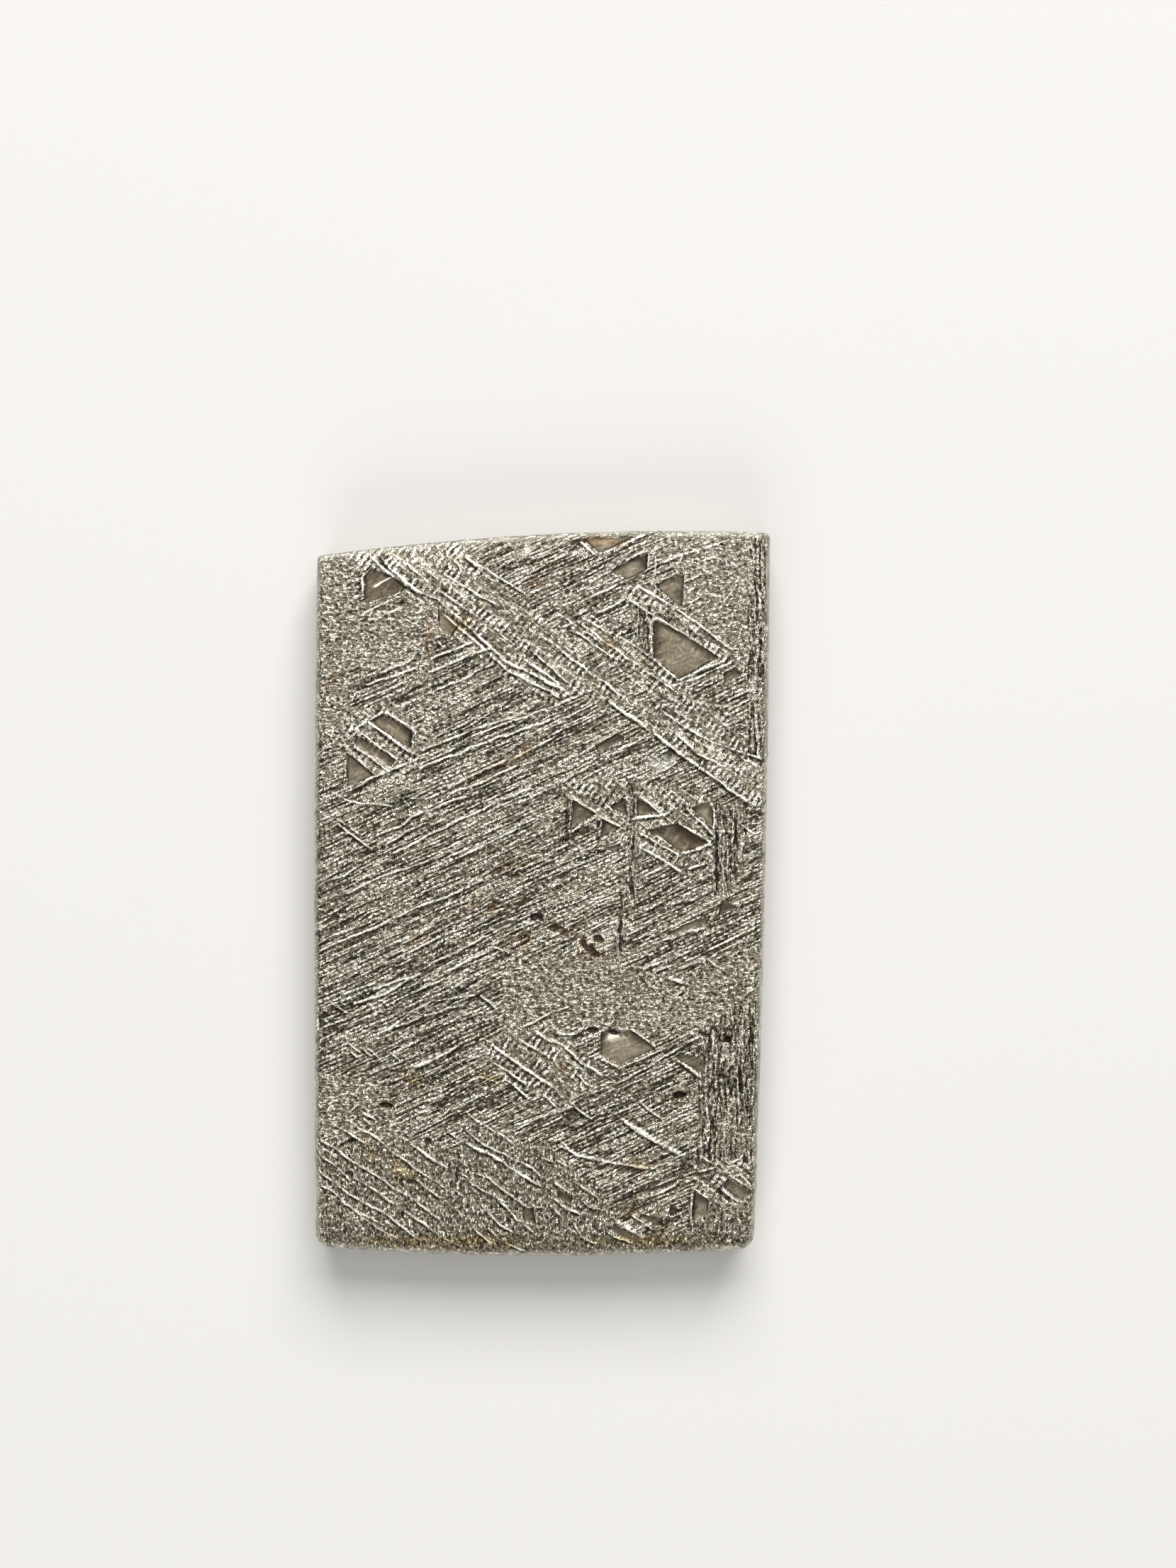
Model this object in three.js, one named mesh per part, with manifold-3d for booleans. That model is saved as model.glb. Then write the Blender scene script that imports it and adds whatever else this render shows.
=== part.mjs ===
import * as THREE from 'three';
import { mergeVertices } from 'three/addons/utils/BufferGeometryUtils.js';
import Module from 'manifold-3d';

// A sawn slice of iron meteorite. Etching has left thin nickel-rich ribs standing proud along the
// planes of the old crystal, and sunk the smooth fields between them.
// Millimetres. The slice lies on its back: X across, Y along to the head, Z up to the etched face.

// Driving dimensions
const THICKNESS = 3.0;
const CORNERS = {
  headLeft: [-8.1, 12.1],
  headRight: [8.2, 12.93],
  footRight: [7.6, -12.72],
  footLeft: [-8.12, -12.65],
};
const CORNER_RADIUS = { headLeft: 0.2, headRight: 0.3, footRight: 0.55, footLeft: 0.55 };
const EDGE_BOW = { head: 0.35, right: 0.11, foot: 0.3, left: 0.08 };
const RIB_HEIGHT = 0.14;
const RIB_HEIGHT_AT_THE_EDGE = 0.03;
const FIELD_DEPTH = 0.18;
const FACE_ROLL = { side: 0.32, end: 1.1, depth: 0.4 };
const BACK_ROLL = { side: 0.14, end: 0.18, depth: 0.14 };

// How the three crystal planes meet the face: the bearing of their traces from +X, and how far
// each plane leans from upright, in degrees.
const RISING = { bearing: 25, lean: -8 };
const FALLING = { bearing: -37, lean: 30 };
const UPRIGHT = { bearing: 91, lean: 20 };

const wasm = await Module();
wasm.setup();

// Repeatable random numbers from 0 to 1.
let seed = 4127;
function random() {
  seed = (seed * 16807) % 2147483647;
  return seed / 2147483647;
}

function between(low, high) {
  return low + (high - low) * random();
}

function toSolid(geometry) {
  geometry.deleteAttribute('normal');
  geometry.deleteAttribute('uv');
  const merged = mergeVertices(geometry, 1e-4);
  return new wasm.Manifold(new wasm.Mesh({
    numProp: 3,
    vertProperties: new Float32Array(merged.attributes.position.array),
    triVerts: new Uint32Array(merged.index.array),
  }));
}

function toGeometry(solid) {
  const mesh = solid.getMesh();
  const geometry = new THREE.BufferGeometry();
  geometry.setAttribute('position', new THREE.BufferAttribute(mesh.vertProperties, 3));
  geometry.setIndex(new THREE.BufferAttribute(mesh.triVerts, 1));
  geometry.computeVertexNormals();
  return geometry;
}

// The outline: four gently bowed edges and four small round corners, counterclockwise.
const EDGE_STEPS = 10;
const CORNER_STEPS = 3;

function outlinePoints() {
  const ring = ['footLeft', 'footRight', 'headRight', 'headLeft'];
  const bows = [EDGE_BOW.foot, EDGE_BOW.right, EDGE_BOW.head, EDGE_BOW.left];
  const corner = ring.map((name) => new THREE.Vector2(...CORNERS[name]));
  const radius = ring.map((name) => CORNER_RADIUS[name]);
  const points = [];
  for (let i = 0; i < ring.length; i += 1) {
    const j = (i + 1) % ring.length;
    const k = (i + 2) % ring.length;
    const along = corner[j].clone().sub(corner[i]).normalize();
    const outward = new THREE.Vector2(along.y, -along.x);
    const start = corner[i].clone().addScaledVector(along, radius[i]);
    const end = corner[j].clone().addScaledVector(along, -radius[j]);
    const pull = start.clone().add(end).multiplyScalar(0.5).addScaledVector(outward, 2 * bows[i]);
    const next = corner[k].clone().sub(corner[j]).normalize();
    const turned = corner[j].clone().addScaledVector(next, radius[j]);
    const edge = new THREE.QuadraticBezierCurve(start, pull, end).getPoints(EDGE_STEPS);
    const bend = new THREE.QuadraticBezierCurve(end, corner[j], turned).getPoints(CORNER_STEPS);
    points.push(...edge.slice(0, -1), ...bend.slice(0, -1));
  }
  return points;
}

const OUTLINE = outlinePoints();
const HALF_WIDTH = Math.max(...OUTLINE.map((point) => point.x));
const HALF_LENGTH = Math.max(...OUTLINE.map((point) => point.y));

// The levels of the slice, from the back up: the height of each, and how far it is drawn in at
// the sides and at the two ends.
const ROLL_STEPS = 3;

function levels(top) {
  const list = [];
  for (let i = 0; i <= ROLL_STEPS; i += 1) {
    const turn = (i / ROLL_STEPS) * (Math.PI / 2);
    const inward = 1 - Math.sin(turn);
    list.push({
      z: BACK_ROLL.depth * (1 - Math.cos(turn)),
      side: BACK_ROLL.side * inward,
      end: BACK_ROLL.end * inward,
    });
  }
  for (let i = 0; i <= ROLL_STEPS; i += 1) {
    const turn = (i / ROLL_STEPS) * (Math.PI / 2);
    const inward = 1 - Math.cos(turn);
    list.push({
      z: top - FACE_ROLL.depth * (1 - Math.sin(turn)),
      side: FACE_ROLL.side * inward,
      end: FACE_ROLL.end * inward,
    });
  }
  return list;
}

// A block of the slice's form, with its upright faces drawn in by a margin and its face at top.
function block(margin, top) {
  const rings = levels(top).map(({ z, side, end }) => OUTLINE.map((point) => new THREE.Vector3(
    point.x * (1 - (side + margin) / HALF_WIDTH),
    point.y * (1 - (end + margin) / HALF_LENGTH),
    z,
  )));
  const count = OUTLINE.length;
  const index = [];
  for (let level = 0; level < rings.length - 1; level += 1) {
    for (let i = 0; i < count; i += 1) {
      const j = (i + 1) % count;
      const low = level * count;
      const high = low + count;
      index.push(low + i, low + j, high + j, low + i, high + j, high + i);
    }
  }
  const lid = (rings.length - 1) * count;
  THREE.ShapeUtils.triangulateShape(OUTLINE, []).forEach(([a, b, c]) => {
    index.push(lid + a, lid + b, lid + c, a, c, b);
  });
  const geometry = new THREE.BufferGeometry().setFromPoints(rings.flat());
  geometry.setIndex(index);
  return toSolid(geometry);
}

// One crystal plate: a thin blade with pointed ends, which stands in the metal at its plane's
// lean. On the face it runs from one given end to the other.
const BLADE_FLOOR = 0.3;
const BLADE_RISE = 1;
const POINT_LENGTH = 3;

function blade(plane, fromX, fromY, toX, toY, width) {
  const half = width / 2;
  const length = Math.hypot(toX - fromX, toY - fromY);
  const point = Math.min(length / 3, width * POINT_LENGTH);
  const plan = new THREE.Shape([
    new THREE.Vector2(0, 0),
    new THREE.Vector2(point, -half),
    new THREE.Vector2(length - point, -half),
    new THREE.Vector2(length, 0),
    new THREE.Vector2(length - point, half),
    new THREE.Vector2(point, half),
  ]);
  const lean = THREE.MathUtils.degToRad(plane.lean);
  const below = (THICKNESS - BLADE_FLOOR) / Math.cos(lean);
  const depth = below + BLADE_RISE;
  const geometry = new THREE.ExtrudeGeometry(plan, { depth, bevelEnabled: false });
  geometry.translate(0, 0, -below);
  geometry.rotateX(lean);
  geometry.rotateZ(Math.atan2(toY - fromY, toX - fromX));
  geometry.translate(fromX, fromY, THICKNESS);
  return toSolid(geometry);
}

// The ribs that show one by one. Each is its two ends and its width.
const THIN = 0.16;
const PLAIN = 0.22;
const BOLD = 0.3;
const BROAD = 0.4;

const FALLING_RIBS = [
  // The broad band down from the head's left corner, and the thin ones above it.
  [-5.75, 11.9, 0.8, 7.25, BOLD], [-3.75, 10.2, 0.7, 6.95, PLAIN], [-3.75, 10.85, -2.2, 9.8, BOLD],
  [-5.3, 12.0, -4.25, 11.3, PLAIN], [-2.8, 12.0, -0.55, 10.65, PLAIN],
  [-6.15, 12.0, -4.6, 10.75, PLAIN], [-3.4, 11.3, -1.6, 10.25, THIN], [-0.4, 8.65, 1.0, 7.45, PLAIN],
  // The ladder-like bands down to the right edge.
  [3.4, 10.95, 6.8, 8.65, PLAIN], [3.0, 10.5, 6.4, 8.4, PLAIN], [1.35, 9.9, 4.85, 7.65, THIN],
  [1.4, 9.6, 4.7, 7.2, THIN], [0.5, 10.0, 2.2, 8.9, THIN], [0.25, 9.05, 3.1, 6.8, PLAIN],
  [2.4, 6.8, 3.8, 5.9, BOLD], [3.9, 5.8, 7.6, 3.1, BOLD], [4.1, 6.6, 8.4, 4.6, PLAIN],
  [4.8, 5.7, 6.2, 4.7, PLAIN],
  // Around the fields at the left edge.
  [-5.6, 6.55, -4.5, 5.8, PLAIN], [-6.25, 6.15, -4.65, 5.0, PLAIN], [-6.75, 5.3, -5.45, 4.4, PLAIN],
  [-7.0, 5.15, -5.85, 4.2, PLAIN], [-7.4, 2.7, -6.0, 1.55, PLAIN],
  // Among the triangular fields right of the middle.
  [1.1, 3.4, 2.0, 2.85, THIN], [3.35, 3.5, 4.25, 2.9, PLAIN], [5.1, 3.1, 6.2, 2.0, PLAIN],
  [4.8, 2.6, 6.0, 1.8, BOLD], [3.4, 2.2, 4.9, 1.35, PLAIN], [3.3, 1.75, 5.0, 0.75, PLAIN],
  // The fan below the middle.
  [-1.75, -5.4, 0.4, -6.85, BOLD], [-0.3, -4.85, 2.2, -6.5, BOLD], [-1.7, -6.0, -0.5, -6.8, PLAIN],
  [-0.8, -5.15, 0.4, -5.9, PLAIN], [-1.4, -6.5, -0.4, -7.3, PLAIN], [0.95, -7.25, 1.8, -8.05, PLAIN],
  [3.15, -4.8, 4.1, -5.5, PLAIN], [4.7, -5.85, 5.7, -6.55, BOLD], [3.4, -7.35, 4.3, -8.0, PLAIN],
  [2.7, -7.95, 5.0, -9.35, BROAD],
  // The long, widely spaced ones at the foot's left corner.
  [-8.6, -9.4, -4.3, -12.4, PLAIN], [-8.6, -8.8, -6.8, -10.2, PLAIN], [-8.6, -8.35, -3.6, -11.6, PLAIN],
  [-6.95, -8.0, -3.4, -10.5, PLAIN], [-7.4, -8.2, -6.2, -8.9, PLAIN], [-8.0, -10.3, -5.1, -12.3, THIN],
  [-6.75, -10.05, -2.85, -12.65, BOLD], [-4.7, -8.85, -3.3, -9.75, BOLD],
  [-2.7, -8.4, 0.0, -10.1, PLAIN], [-2.75, -8.85, 0.0, -10.4, BOLD], [-2.4, -9.95, 0.1, -11.15, PLAIN],
  [-2.2, -11.0, -1.0, -12.1, PLAIN], [-1.6, -10.9, -0.3, -12.1, BOLD], [-1.9, -11.9, -0.6, -12.85, PLAIN],
  // The foot's right corner.
  [0.4, -10.8, 1.4, -11.4, BOLD], [1.2, -10.3, 2.05, -10.85, PLAIN], [1.1, -11.7, 1.9, -12.5, PLAIN],
  [2.6, -11.6, 3.7, -12.3, BROAD], [3.15, -11.4, 4.0, -11.95, PLAIN], [6.6, -9.95, 8.0, -10.9, PLAIN],
];

const RISING_RIBS = [
  // The head.
  [-6.3, 7.4, -4.4, 8.05, PLAIN], [-6.4, 6.9, -4.7, 7.6, PLAIN], [-5.8, 7.8, -4.5, 8.4, BOLD],
  [-4.0, 8.35, -2.4, 9.0, PLAIN], [-4.05, 7.85, -1.75, 8.75, BOLD], [-4.1, 7.1, -1.7, 8.2, PLAIN],
  [2.1, 12.1, 4.0, 12.95, PLAIN], [2.35, 11.5, 3.8, 12.3, PLAIN], [4.3, 11.8, 6.6, 12.6, THIN],
  [1.5, 10.45, 2.6, 11.0, PLAIN], [1.9, 9.95, 3.0, 10.5, PLAIN], [4.85, 7.6, 6.6, 8.35, BOLD],
  [0.2, 6.6, 1.9, 7.3, PLAIN],
  // The long ones from the left edge to the middle.
  [-6.7, 5.85, -5.6, 6.5, PLAIN], [-6.9, 3.65, -5.9, 4.2, PLAIN], [-5.85, 4.25, -4.2, 4.9, PLAIN],
  [-4.25, 5.1, -0.5, 6.45, PLAIN], [-4.4, 4.45, 0.4, 6.2, PLAIN], [-3.4, 3.75, 0.3, 5.5, BOLD],
  [-6.0, 2.05, -2.7, 3.5, BOLD], [-5.3, 1.4, -0.4, 3.8, PLAIN], [-3.0, 1.3, -0.9, 2.3, PLAIN],
  [-8.5, 0.05, -6.5, 0.95, PLAIN], [-7.0, 0.0, -3.4, 1.4, PLAIN], [-8.6, -2.3, -2.9, 0.1, PLAIN],
  [-5.0, -1.8, -3.8, -1.1, PLAIN], [-4.1, -2.55, -2.0, -1.45, PLAIN], [-3.5, -2.8, -1.1, -2.1, PLAIN],
  [-6.75, -3.95, -4.3, -2.8, BOLD], [-7.2, -3.6, -5.9, -3.15, PLAIN], [-6.2, -5.1, -2.7, -3.9, PLAIN],
  [-4.8, -4.25, -2.3, -3.6, PLAIN],
  // Right of the middle.
  [1.5, 5.1, 2.7, 5.75, PLAIN], [2.1, 4.85, 3.4, 5.4, PLAIN], [3.1, 2.65, 4.5, 2.85, PLAIN],
  [4.95, 1.4, 6.05, 1.8, PLAIN], [3.5, 0.55, 4.5, 1.05, PLAIN], [1.0, 2.2, 2.0, 2.8, THIN],
  [3.45, -2.65, 5.3, -2.05, BOLD], [5.9, -2.0, 8.4, -0.8, PLAIN], [4.3, -1.65, 5.9, -1.15, THIN],
  // The foot.
  [-4.65, -6.2, -2.95, -5.4, BOLD], [-0.6, -4.7, 1.0, -4.0, PLAIN], [2.75, -6.2, 4.2, -5.55, PLAIN],
  [2.6, -6.8, 5.7, -5.0, PLAIN], [-8.5, -7.8, -7.2, -7.3, PLAIN], [3.4, -10.85, 4.9, -10.25, PLAIN],
];

const UPRIGHT_RIBS = [
  [-4.2, 4.9, -4.3, 10.7, PLAIN], [-6.4, 9.4, -6.4, 11.3, THIN], [3.1, -2.1, 3.2, 3.5, BOLD],
  [0.85, 1.0, 0.9, 3.5, THIN], [6.1, 0.1, 6.15, 3.1, PLAIN], [6.65, 0.5, 6.6, 3.0, THIN],
  [-3.0, -13.2, -3.0, -9.4, PLAIN], [5.2, -12.1, 5.3, -10.4, THIN], [4.8, -11.7, 4.85, -10.5, THIN],
  [6.4, -11.3, 6.5, -9.6, THIN],
];

// Patches where one plane's ribs stand close together. Each is its near corner x, y, how far it
// runs along and across its plane, the number of ribs and their mean width.
const PATCHES = [
  { plane: RISING, x: -8.6, y: 1.4, along: 6.0, across: 1.6, count: 3, width: 0.17 },
  { plane: RISING, x: -8.6, y: -5.8, along: 4.4, across: 1.4, count: 3, width: 0.17 },
  { plane: RISING, x: -3.9, y: -7.7, along: 3.2, across: 1.4, count: 3, width: 0.16 },
  { plane: RISING, x: -2.0, y: 10.3, along: 3.6, across: 2.0, count: 4, width: 0.17 },
  { plane: UPRIGHT, x: 7.9, y: -9.3, along: 4.6, across: 1.5, count: 5, width: 0.18 },
  { plane: UPRIGHT, x: 7.9, y: 1.4, along: 9.0, across: 0.9, count: 3, width: 0.16 },
];

function patchRibs({ plane, x, y, along, across, count, width }) {
  const bearing = THREE.MathUtils.degToRad(plane.bearing);
  const forward = new THREE.Vector2(Math.cos(bearing), Math.sin(bearing));
  const sideways = new THREE.Vector2(-forward.y, forward.x);
  const ribs = [];
  for (let i = 0; i < count; i += 1) {
    const length = along * between(0.45, 0.85);
    const shift = (along - length) * random();
    const aside = (across * (i + between(0.2, 0.8))) / count;
    const near = new THREE.Vector2(x, y)
      .addScaledVector(forward, shift)
      .addScaledVector(sideways, aside);
    const far = near.clone().addScaledVector(forward, length);
    ribs.push(blade(plane, near.x, near.y, far.x, far.y, width * between(0.8, 1.25)));
  }
  return ribs;
}

// The rungs across the ladder-like bands: short blades square to the band, at an even pitch.
const LADDERS = [
  { x: 4.0, y: 10.05, length: 2.9, breadth: 0.5 },
  { x: 2.0, y: 9.05, length: 2.8, breadth: 0.5 },
  { x: 4.5, y: 5.65, length: 2.4, breadth: 0.45 },
  { x: -1.9, y: 9.1, length: 1.7, breadth: 0.5 },
];
const RUNG_PITCH = 0.48;
const RUNG_WIDTH = 0.18;
const UPRIGHT_BLADE = { lean: 0 };

function ladderRungs({ x, y, length, breadth }) {
  const bearing = THREE.MathUtils.degToRad(FALLING.bearing);
  const forward = new THREE.Vector2(Math.cos(bearing), Math.sin(bearing));
  const sideways = new THREE.Vector2(-forward.y, forward.x);
  const rungs = [];
  for (let run = 0; run < length; run += RUNG_PITCH) {
    const near = new THREE.Vector2(x, y).addScaledVector(forward, run);
    const far = near.clone().addScaledVector(sideways, breadth);
    rungs.push(blade(UPRIGHT_BLADE, near.x, near.y, far.x, far.y, RUNG_WIDTH));
  }
  return rungs;
}

// The sunken fields between the ribs, each by its corners.
const FIELDS = [
  [[1.4, 12.7], [3.4, 12.8], [2.05, 12.1]],
  [[2.4, 11.5], [3.75, 12.1], [3.75, 11.5], [3.05, 11.15]],
  [[3.95, 9.75], [4.95, 9.35], [6.3, 8.4], [4.85, 7.6], [3.95, 8.4]],
  [[4.0, 11.0], [5.05, 11.4], [5.0, 10.1]],
  [[6.45, 7.85], [6.85, 8.05], [7.15, 7.8], [6.5, 7.45]],
  [[1.85, 5.3], [2.7, 5.7], [2.95, 5.5], [2.05, 4.95]],
  [[-6.35, 11.3], [-4.75, 10.9], [-5.1, 10.7], [-6.35, 10.3]],
  [[-3.7, 10.2], [-2.9, 9.6], [-3.25, 9.1], [-3.7, 9.5]],
  [[-6.2, 6.15], [-5.6, 6.4], [-4.6, 5.8], [-4.65, 5.1]],
  [[-6.95, 5.05], [-5.95, 4.2], [-6.95, 3.75]],
  [[1.1, 3.35], [1.9, 2.85], [1.0, 2.25]],
  [[2.15, 2.65], [2.8, 2.35], [2.05, 1.95]],
  [[3.4, 3.4], [4.15, 2.9], [3.35, 2.7]],
  [[5.25, 3.1], [5.85, 3.25], [6.1, 3.05], [6.1, 2.3]],
  [[3.65, 2.25], [4.8, 2.5], [5.95, 1.8], [4.95, 1.45], [4.3, 1.95]],
  [[6.4, -0.2], [7.0, -0.5], [6.25, -0.8]],
  [[2.1, -4.9], [3.15, -4.85], [4.1, -5.5], [2.8, -6.1], [2.05, -5.75]],
  [[4.85, -5.6], [5.85, -5.95], [5.7, -6.45], [4.8, -5.85]],
  [[6.6, -10.1], [7.55, -10.7], [7.05, -10.9], [6.45, -10.45]],
  [[5.4, -10.55], [5.95, -10.9], [5.9, -11.45], [5.35, -11.65]],
  [[2.25, -11.9], [2.6, -11.8], [3.55, -12.35], [3.2, -12.45]],
];

function field(corners) {
  const plan = new THREE.Shape(corners.map(([x, y]) => new THREE.Vector2(x, y)));
  const geometry = new THREE.ExtrudeGeometry(plan, { depth: 1, bevelEnabled: false });
  geometry.translate(0, 0, THICKNESS - RIB_HEIGHT - FIELD_DEPTH);
  return toSolid(geometry);
}

// The pits where softer grains have been eaten out: a lump of rough metal's worth taken away.
const PITS = [
  { x: 0.5, y: -1.25, length: 0.7, width: 0.45, depth: 0.18, turn: -35 },
  { x: 1.7, y: -1.9, length: 1.1, width: 0.5, depth: 0.22, turn: -35 },
  { x: -2.3, y: -0.3, length: 0.6, width: 0.3, depth: 0.16, turn: 20 },
  { x: 5.0, y: -7.2, length: 0.8, width: 0.35, depth: 0.24, turn: -5 },
  { x: -5.5, y: -7.5, length: 0.7, width: 0.35, depth: 0.2, turn: -25 },
  { x: 2.4, y: -4.95, length: 1.0, width: 0.3, depth: 0.2, turn: -10 },
  { x: -6.9, y: -8.8, length: 0.7, width: 0.3, depth: 0.16, turn: 28 },
];

function pit({ x, y, length, width, depth, turn }) {
  const geometry = new THREE.IcosahedronGeometry(1, 1);
  geometry.scale(length / 2, width / 2, depth);
  geometry.rotateZ(THREE.MathUtils.degToRad(turn));
  geometry.translate(x, y, THICKNESS - RIB_HEIGHT);
  return toSolid(geometry);
}

// The back is sawn flat and only lightly etched: short grooves along the same planes, clear of
// the middle, which is the face that it rests on.
const GROOVE_DEPTH = 0.07;
const GROOVE_WIDTH = 0.22;
const GROOVE_LENGTH = { least: 1.8, most: 4.2 };
const GROOVE_REACH = { x: 6, y: 10.5 };
const GROOVE_COUNT = 26;
const GROOVE_CLEARANCE = 1.2;

function groove(plane, middle, length) {
  const plan = new THREE.Shape([
    new THREE.Vector2(-length / 2, 0),
    new THREE.Vector2(0, -GROOVE_WIDTH / 2),
    new THREE.Vector2(length / 2, 0),
    new THREE.Vector2(0, GROOVE_WIDTH / 2),
  ]);
  const geometry = new THREE.ExtrudeGeometry(plan, { depth: 1, bevelEnabled: false });
  geometry.rotateZ(THREE.MathUtils.degToRad(plane.bearing));
  geometry.translate(middle.x, middle.y, GROOVE_DEPTH - 1);
  return toSolid(geometry);
}

function backGrooves() {
  const planes = [RISING, FALLING, UPRIGHT];
  const grooves = [];
  while (grooves.length < GROOVE_COUNT) {
    const plane = planes[grooves.length % planes.length];
    const length = between(GROOVE_LENGTH.least, GROOVE_LENGTH.most);
    const x = between(-GROOVE_REACH.x, GROOVE_REACH.x);
    const y = between(-GROOVE_REACH.y, GROOVE_REACH.y);
    const middle = new THREE.Vector2(x, y);
    if (middle.length() > GROOVE_CLEARANCE + length / 2) {
      grooves.push(groove(plane, middle, length));
    }
  }
  return grooves;
}

// The slice: the ribs are trimmed to the crest's form, and joined to the land below them.
function slice() {
  let ribs = null;
  const join = (solid) => {
    ribs = ribs ? ribs.add(solid) : solid;
  };
  FALLING_RIBS.forEach((rib) => join(blade(FALLING, ...rib)));
  RISING_RIBS.forEach((rib) => join(blade(RISING, ...rib)));
  UPRIGHT_RIBS.forEach((rib) => join(blade(UPRIGHT, ...rib)));
  PATCHES.forEach((patch) => patchRibs(patch).forEach(join));
  LADDERS.forEach((ladder) => ladderRungs(ladder).forEach(join));

  const land = block(RIB_HEIGHT_AT_THE_EDGE, THICKNESS - RIB_HEIGHT);
  const ribbed = land.add(ribs.intersect(block(0, THICKNESS)));
  const hollows = [...FIELDS.map(field), ...PITS.map(pit), ...backGrooves()];
  return hollows.reduce((body, hollow) => body.subtract(hollow), ribbed);
}

const etchedIron = new THREE.MeshStandardMaterial({
  color: 0x8d8b82,
  roughness: 0.42,
  metalness: 0.95,
});

const mesh = new THREE.Mesh(toGeometry(slice()), etchedIron);
mesh.name = 'meteorite_slice';

// The origin is under the middle of the slice's box.
mesh.geometry.computeBoundingBox();
const middle = mesh.geometry.boundingBox.getCenter(new THREE.Vector3());
mesh.position.set(-middle.x, -middle.y, 0);

const group = new THREE.Group();
group.add(mesh);

export default group;
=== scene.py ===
import itertools
import math

import bpy
import numpy as np
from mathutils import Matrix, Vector


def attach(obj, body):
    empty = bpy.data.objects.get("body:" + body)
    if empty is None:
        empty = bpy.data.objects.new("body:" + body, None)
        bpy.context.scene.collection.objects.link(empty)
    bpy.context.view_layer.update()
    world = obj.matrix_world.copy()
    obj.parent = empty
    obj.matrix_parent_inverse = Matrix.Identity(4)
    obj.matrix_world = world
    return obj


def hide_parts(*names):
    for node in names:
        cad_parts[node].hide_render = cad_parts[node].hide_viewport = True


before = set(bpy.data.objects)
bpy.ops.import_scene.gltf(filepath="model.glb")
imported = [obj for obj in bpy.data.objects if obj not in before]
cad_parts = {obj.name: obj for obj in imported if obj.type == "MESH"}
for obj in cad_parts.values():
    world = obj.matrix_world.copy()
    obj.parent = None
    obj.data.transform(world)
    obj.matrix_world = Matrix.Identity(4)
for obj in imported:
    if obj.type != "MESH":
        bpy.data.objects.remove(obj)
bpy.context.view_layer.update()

# The camera. It looks straight down on the etched face, with the head of the slice at the top of
# the picture. Lengths in this file are millimetres until they reach Blender, which has metres.
MM = 0.001
PHOTO_WIDTH = 1659
PHOTO_HEIGHT = 2212
PIXELS_PER_MM = 39.7
SLICE_MIDDLE_IN_PHOTO = (764.3, 1260.7)
FACE_HEIGHT = 3.0

camera_data = bpy.data.cameras.new("camera")
camera_data.lens = 60
camera_data.clip_start = 2 * MM
camera = bpy.data.objects.new("camera", camera_data)
camera_distance = PHOTO_HEIGHT / PIXELS_PER_MM * camera_data.lens / camera_data.sensor_width
camera.location = (
    (PHOTO_WIDTH / 2 - SLICE_MIDDLE_IN_PHOTO[0]) / PIXELS_PER_MM * MM,
    (SLICE_MIDDLE_IN_PHOTO[1] - PHOTO_HEIGHT / 2) / PIXELS_PER_MM * MM,
    (FACE_HEIGHT + camera_distance) * MM,
)
bpy.context.scene.collection.objects.link(camera)
bpy.context.scene.camera = camera


# The slice: one sawn block of nickel-iron, etched with acid on its face. First the bare block: four
# gently bowed edges, small round corners, and a face that rolls over at the sides and the two ends.
# X runs across, Y along to the head, and Z up, from under the middle of the face.
THICKNESS = FACE_HEIGHT
FOOT_LEFT = np.array([-8.12, -12.65])
FOOT_RIGHT = np.array([7.6, -12.72])
HEAD_RIGHT = np.array([8.2, 12.93])
HEAD_LEFT = np.array([-8.1, 12.1])
CORNER_RADII = {"foot_left": 0.55, "foot_right": 0.55, "head_right": 0.3, "head_left": 0.2}
BOWS = {"foot": 0.3, "right": 0.11, "head": 0.35, "left": 0.08}
SIDE_ROLL = 0.32
END_ROLL = 1.1
ROLL_DEPTH = 0.4
BACK_SIDE_ROLL = 0.14
BACK_END_ROLL = 0.18
BACK_ROLL_DEPTH = 0.14
STEP = 0.048


def bowed_edge(start, end, bow, run):
    along = (end - start) / np.linalg.norm(end - start)
    outward = np.array([along[1], -along[0]])
    return start + run[..., None] * (end - start) + (4 * bow * run * (1 - run))[..., None] * outward


def on_the_plan(across, along):
    # The point at these shares of the width and the length, between the four bowed edges.
    foot = bowed_edge(FOOT_LEFT, FOOT_RIGHT, BOWS["foot"], across)
    right = bowed_edge(FOOT_RIGHT, HEAD_RIGHT, BOWS["right"], along)
    head = bowed_edge(HEAD_RIGHT, HEAD_LEFT, BOWS["head"], 1 - across)
    left = bowed_edge(HEAD_LEFT, FOOT_LEFT, BOWS["left"], 1 - along)
    a, b = across[..., None], along[..., None]
    straight = (
        (1 - a) * (1 - b) * FOOT_LEFT + a * (1 - b) * FOOT_RIGHT
        + a * b * HEAD_RIGHT + (1 - a) * b * HEAD_LEFT
    )
    return (1 - b) * foot + b * head + (1 - a) * left + a * right - straight


def stations(length, roll):
    # Places along a line over the face, closer together where the surface turns down.
    arc = math.pi / 2 * math.hypot(roll, ROLL_DEPTH) / math.sqrt(2)
    turn = np.linspace(math.pi / 2, 0, math.ceil(arc / STEP) + 1)
    rolled = roll * (1 - np.sin(turn))
    flat = np.linspace(roll, length - roll, math.ceil((length - 2 * roll) / STEP) + 1)
    return np.concatenate([rolled, flat[1:-1], length - rolled[::-1]])


def rounded(p, q):
    # Squeezes the corner of a unit square into a quarter of a circle.
    return p * np.sqrt(1 - q * q / 2), q * np.sqrt(1 - p * p / 2)


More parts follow.
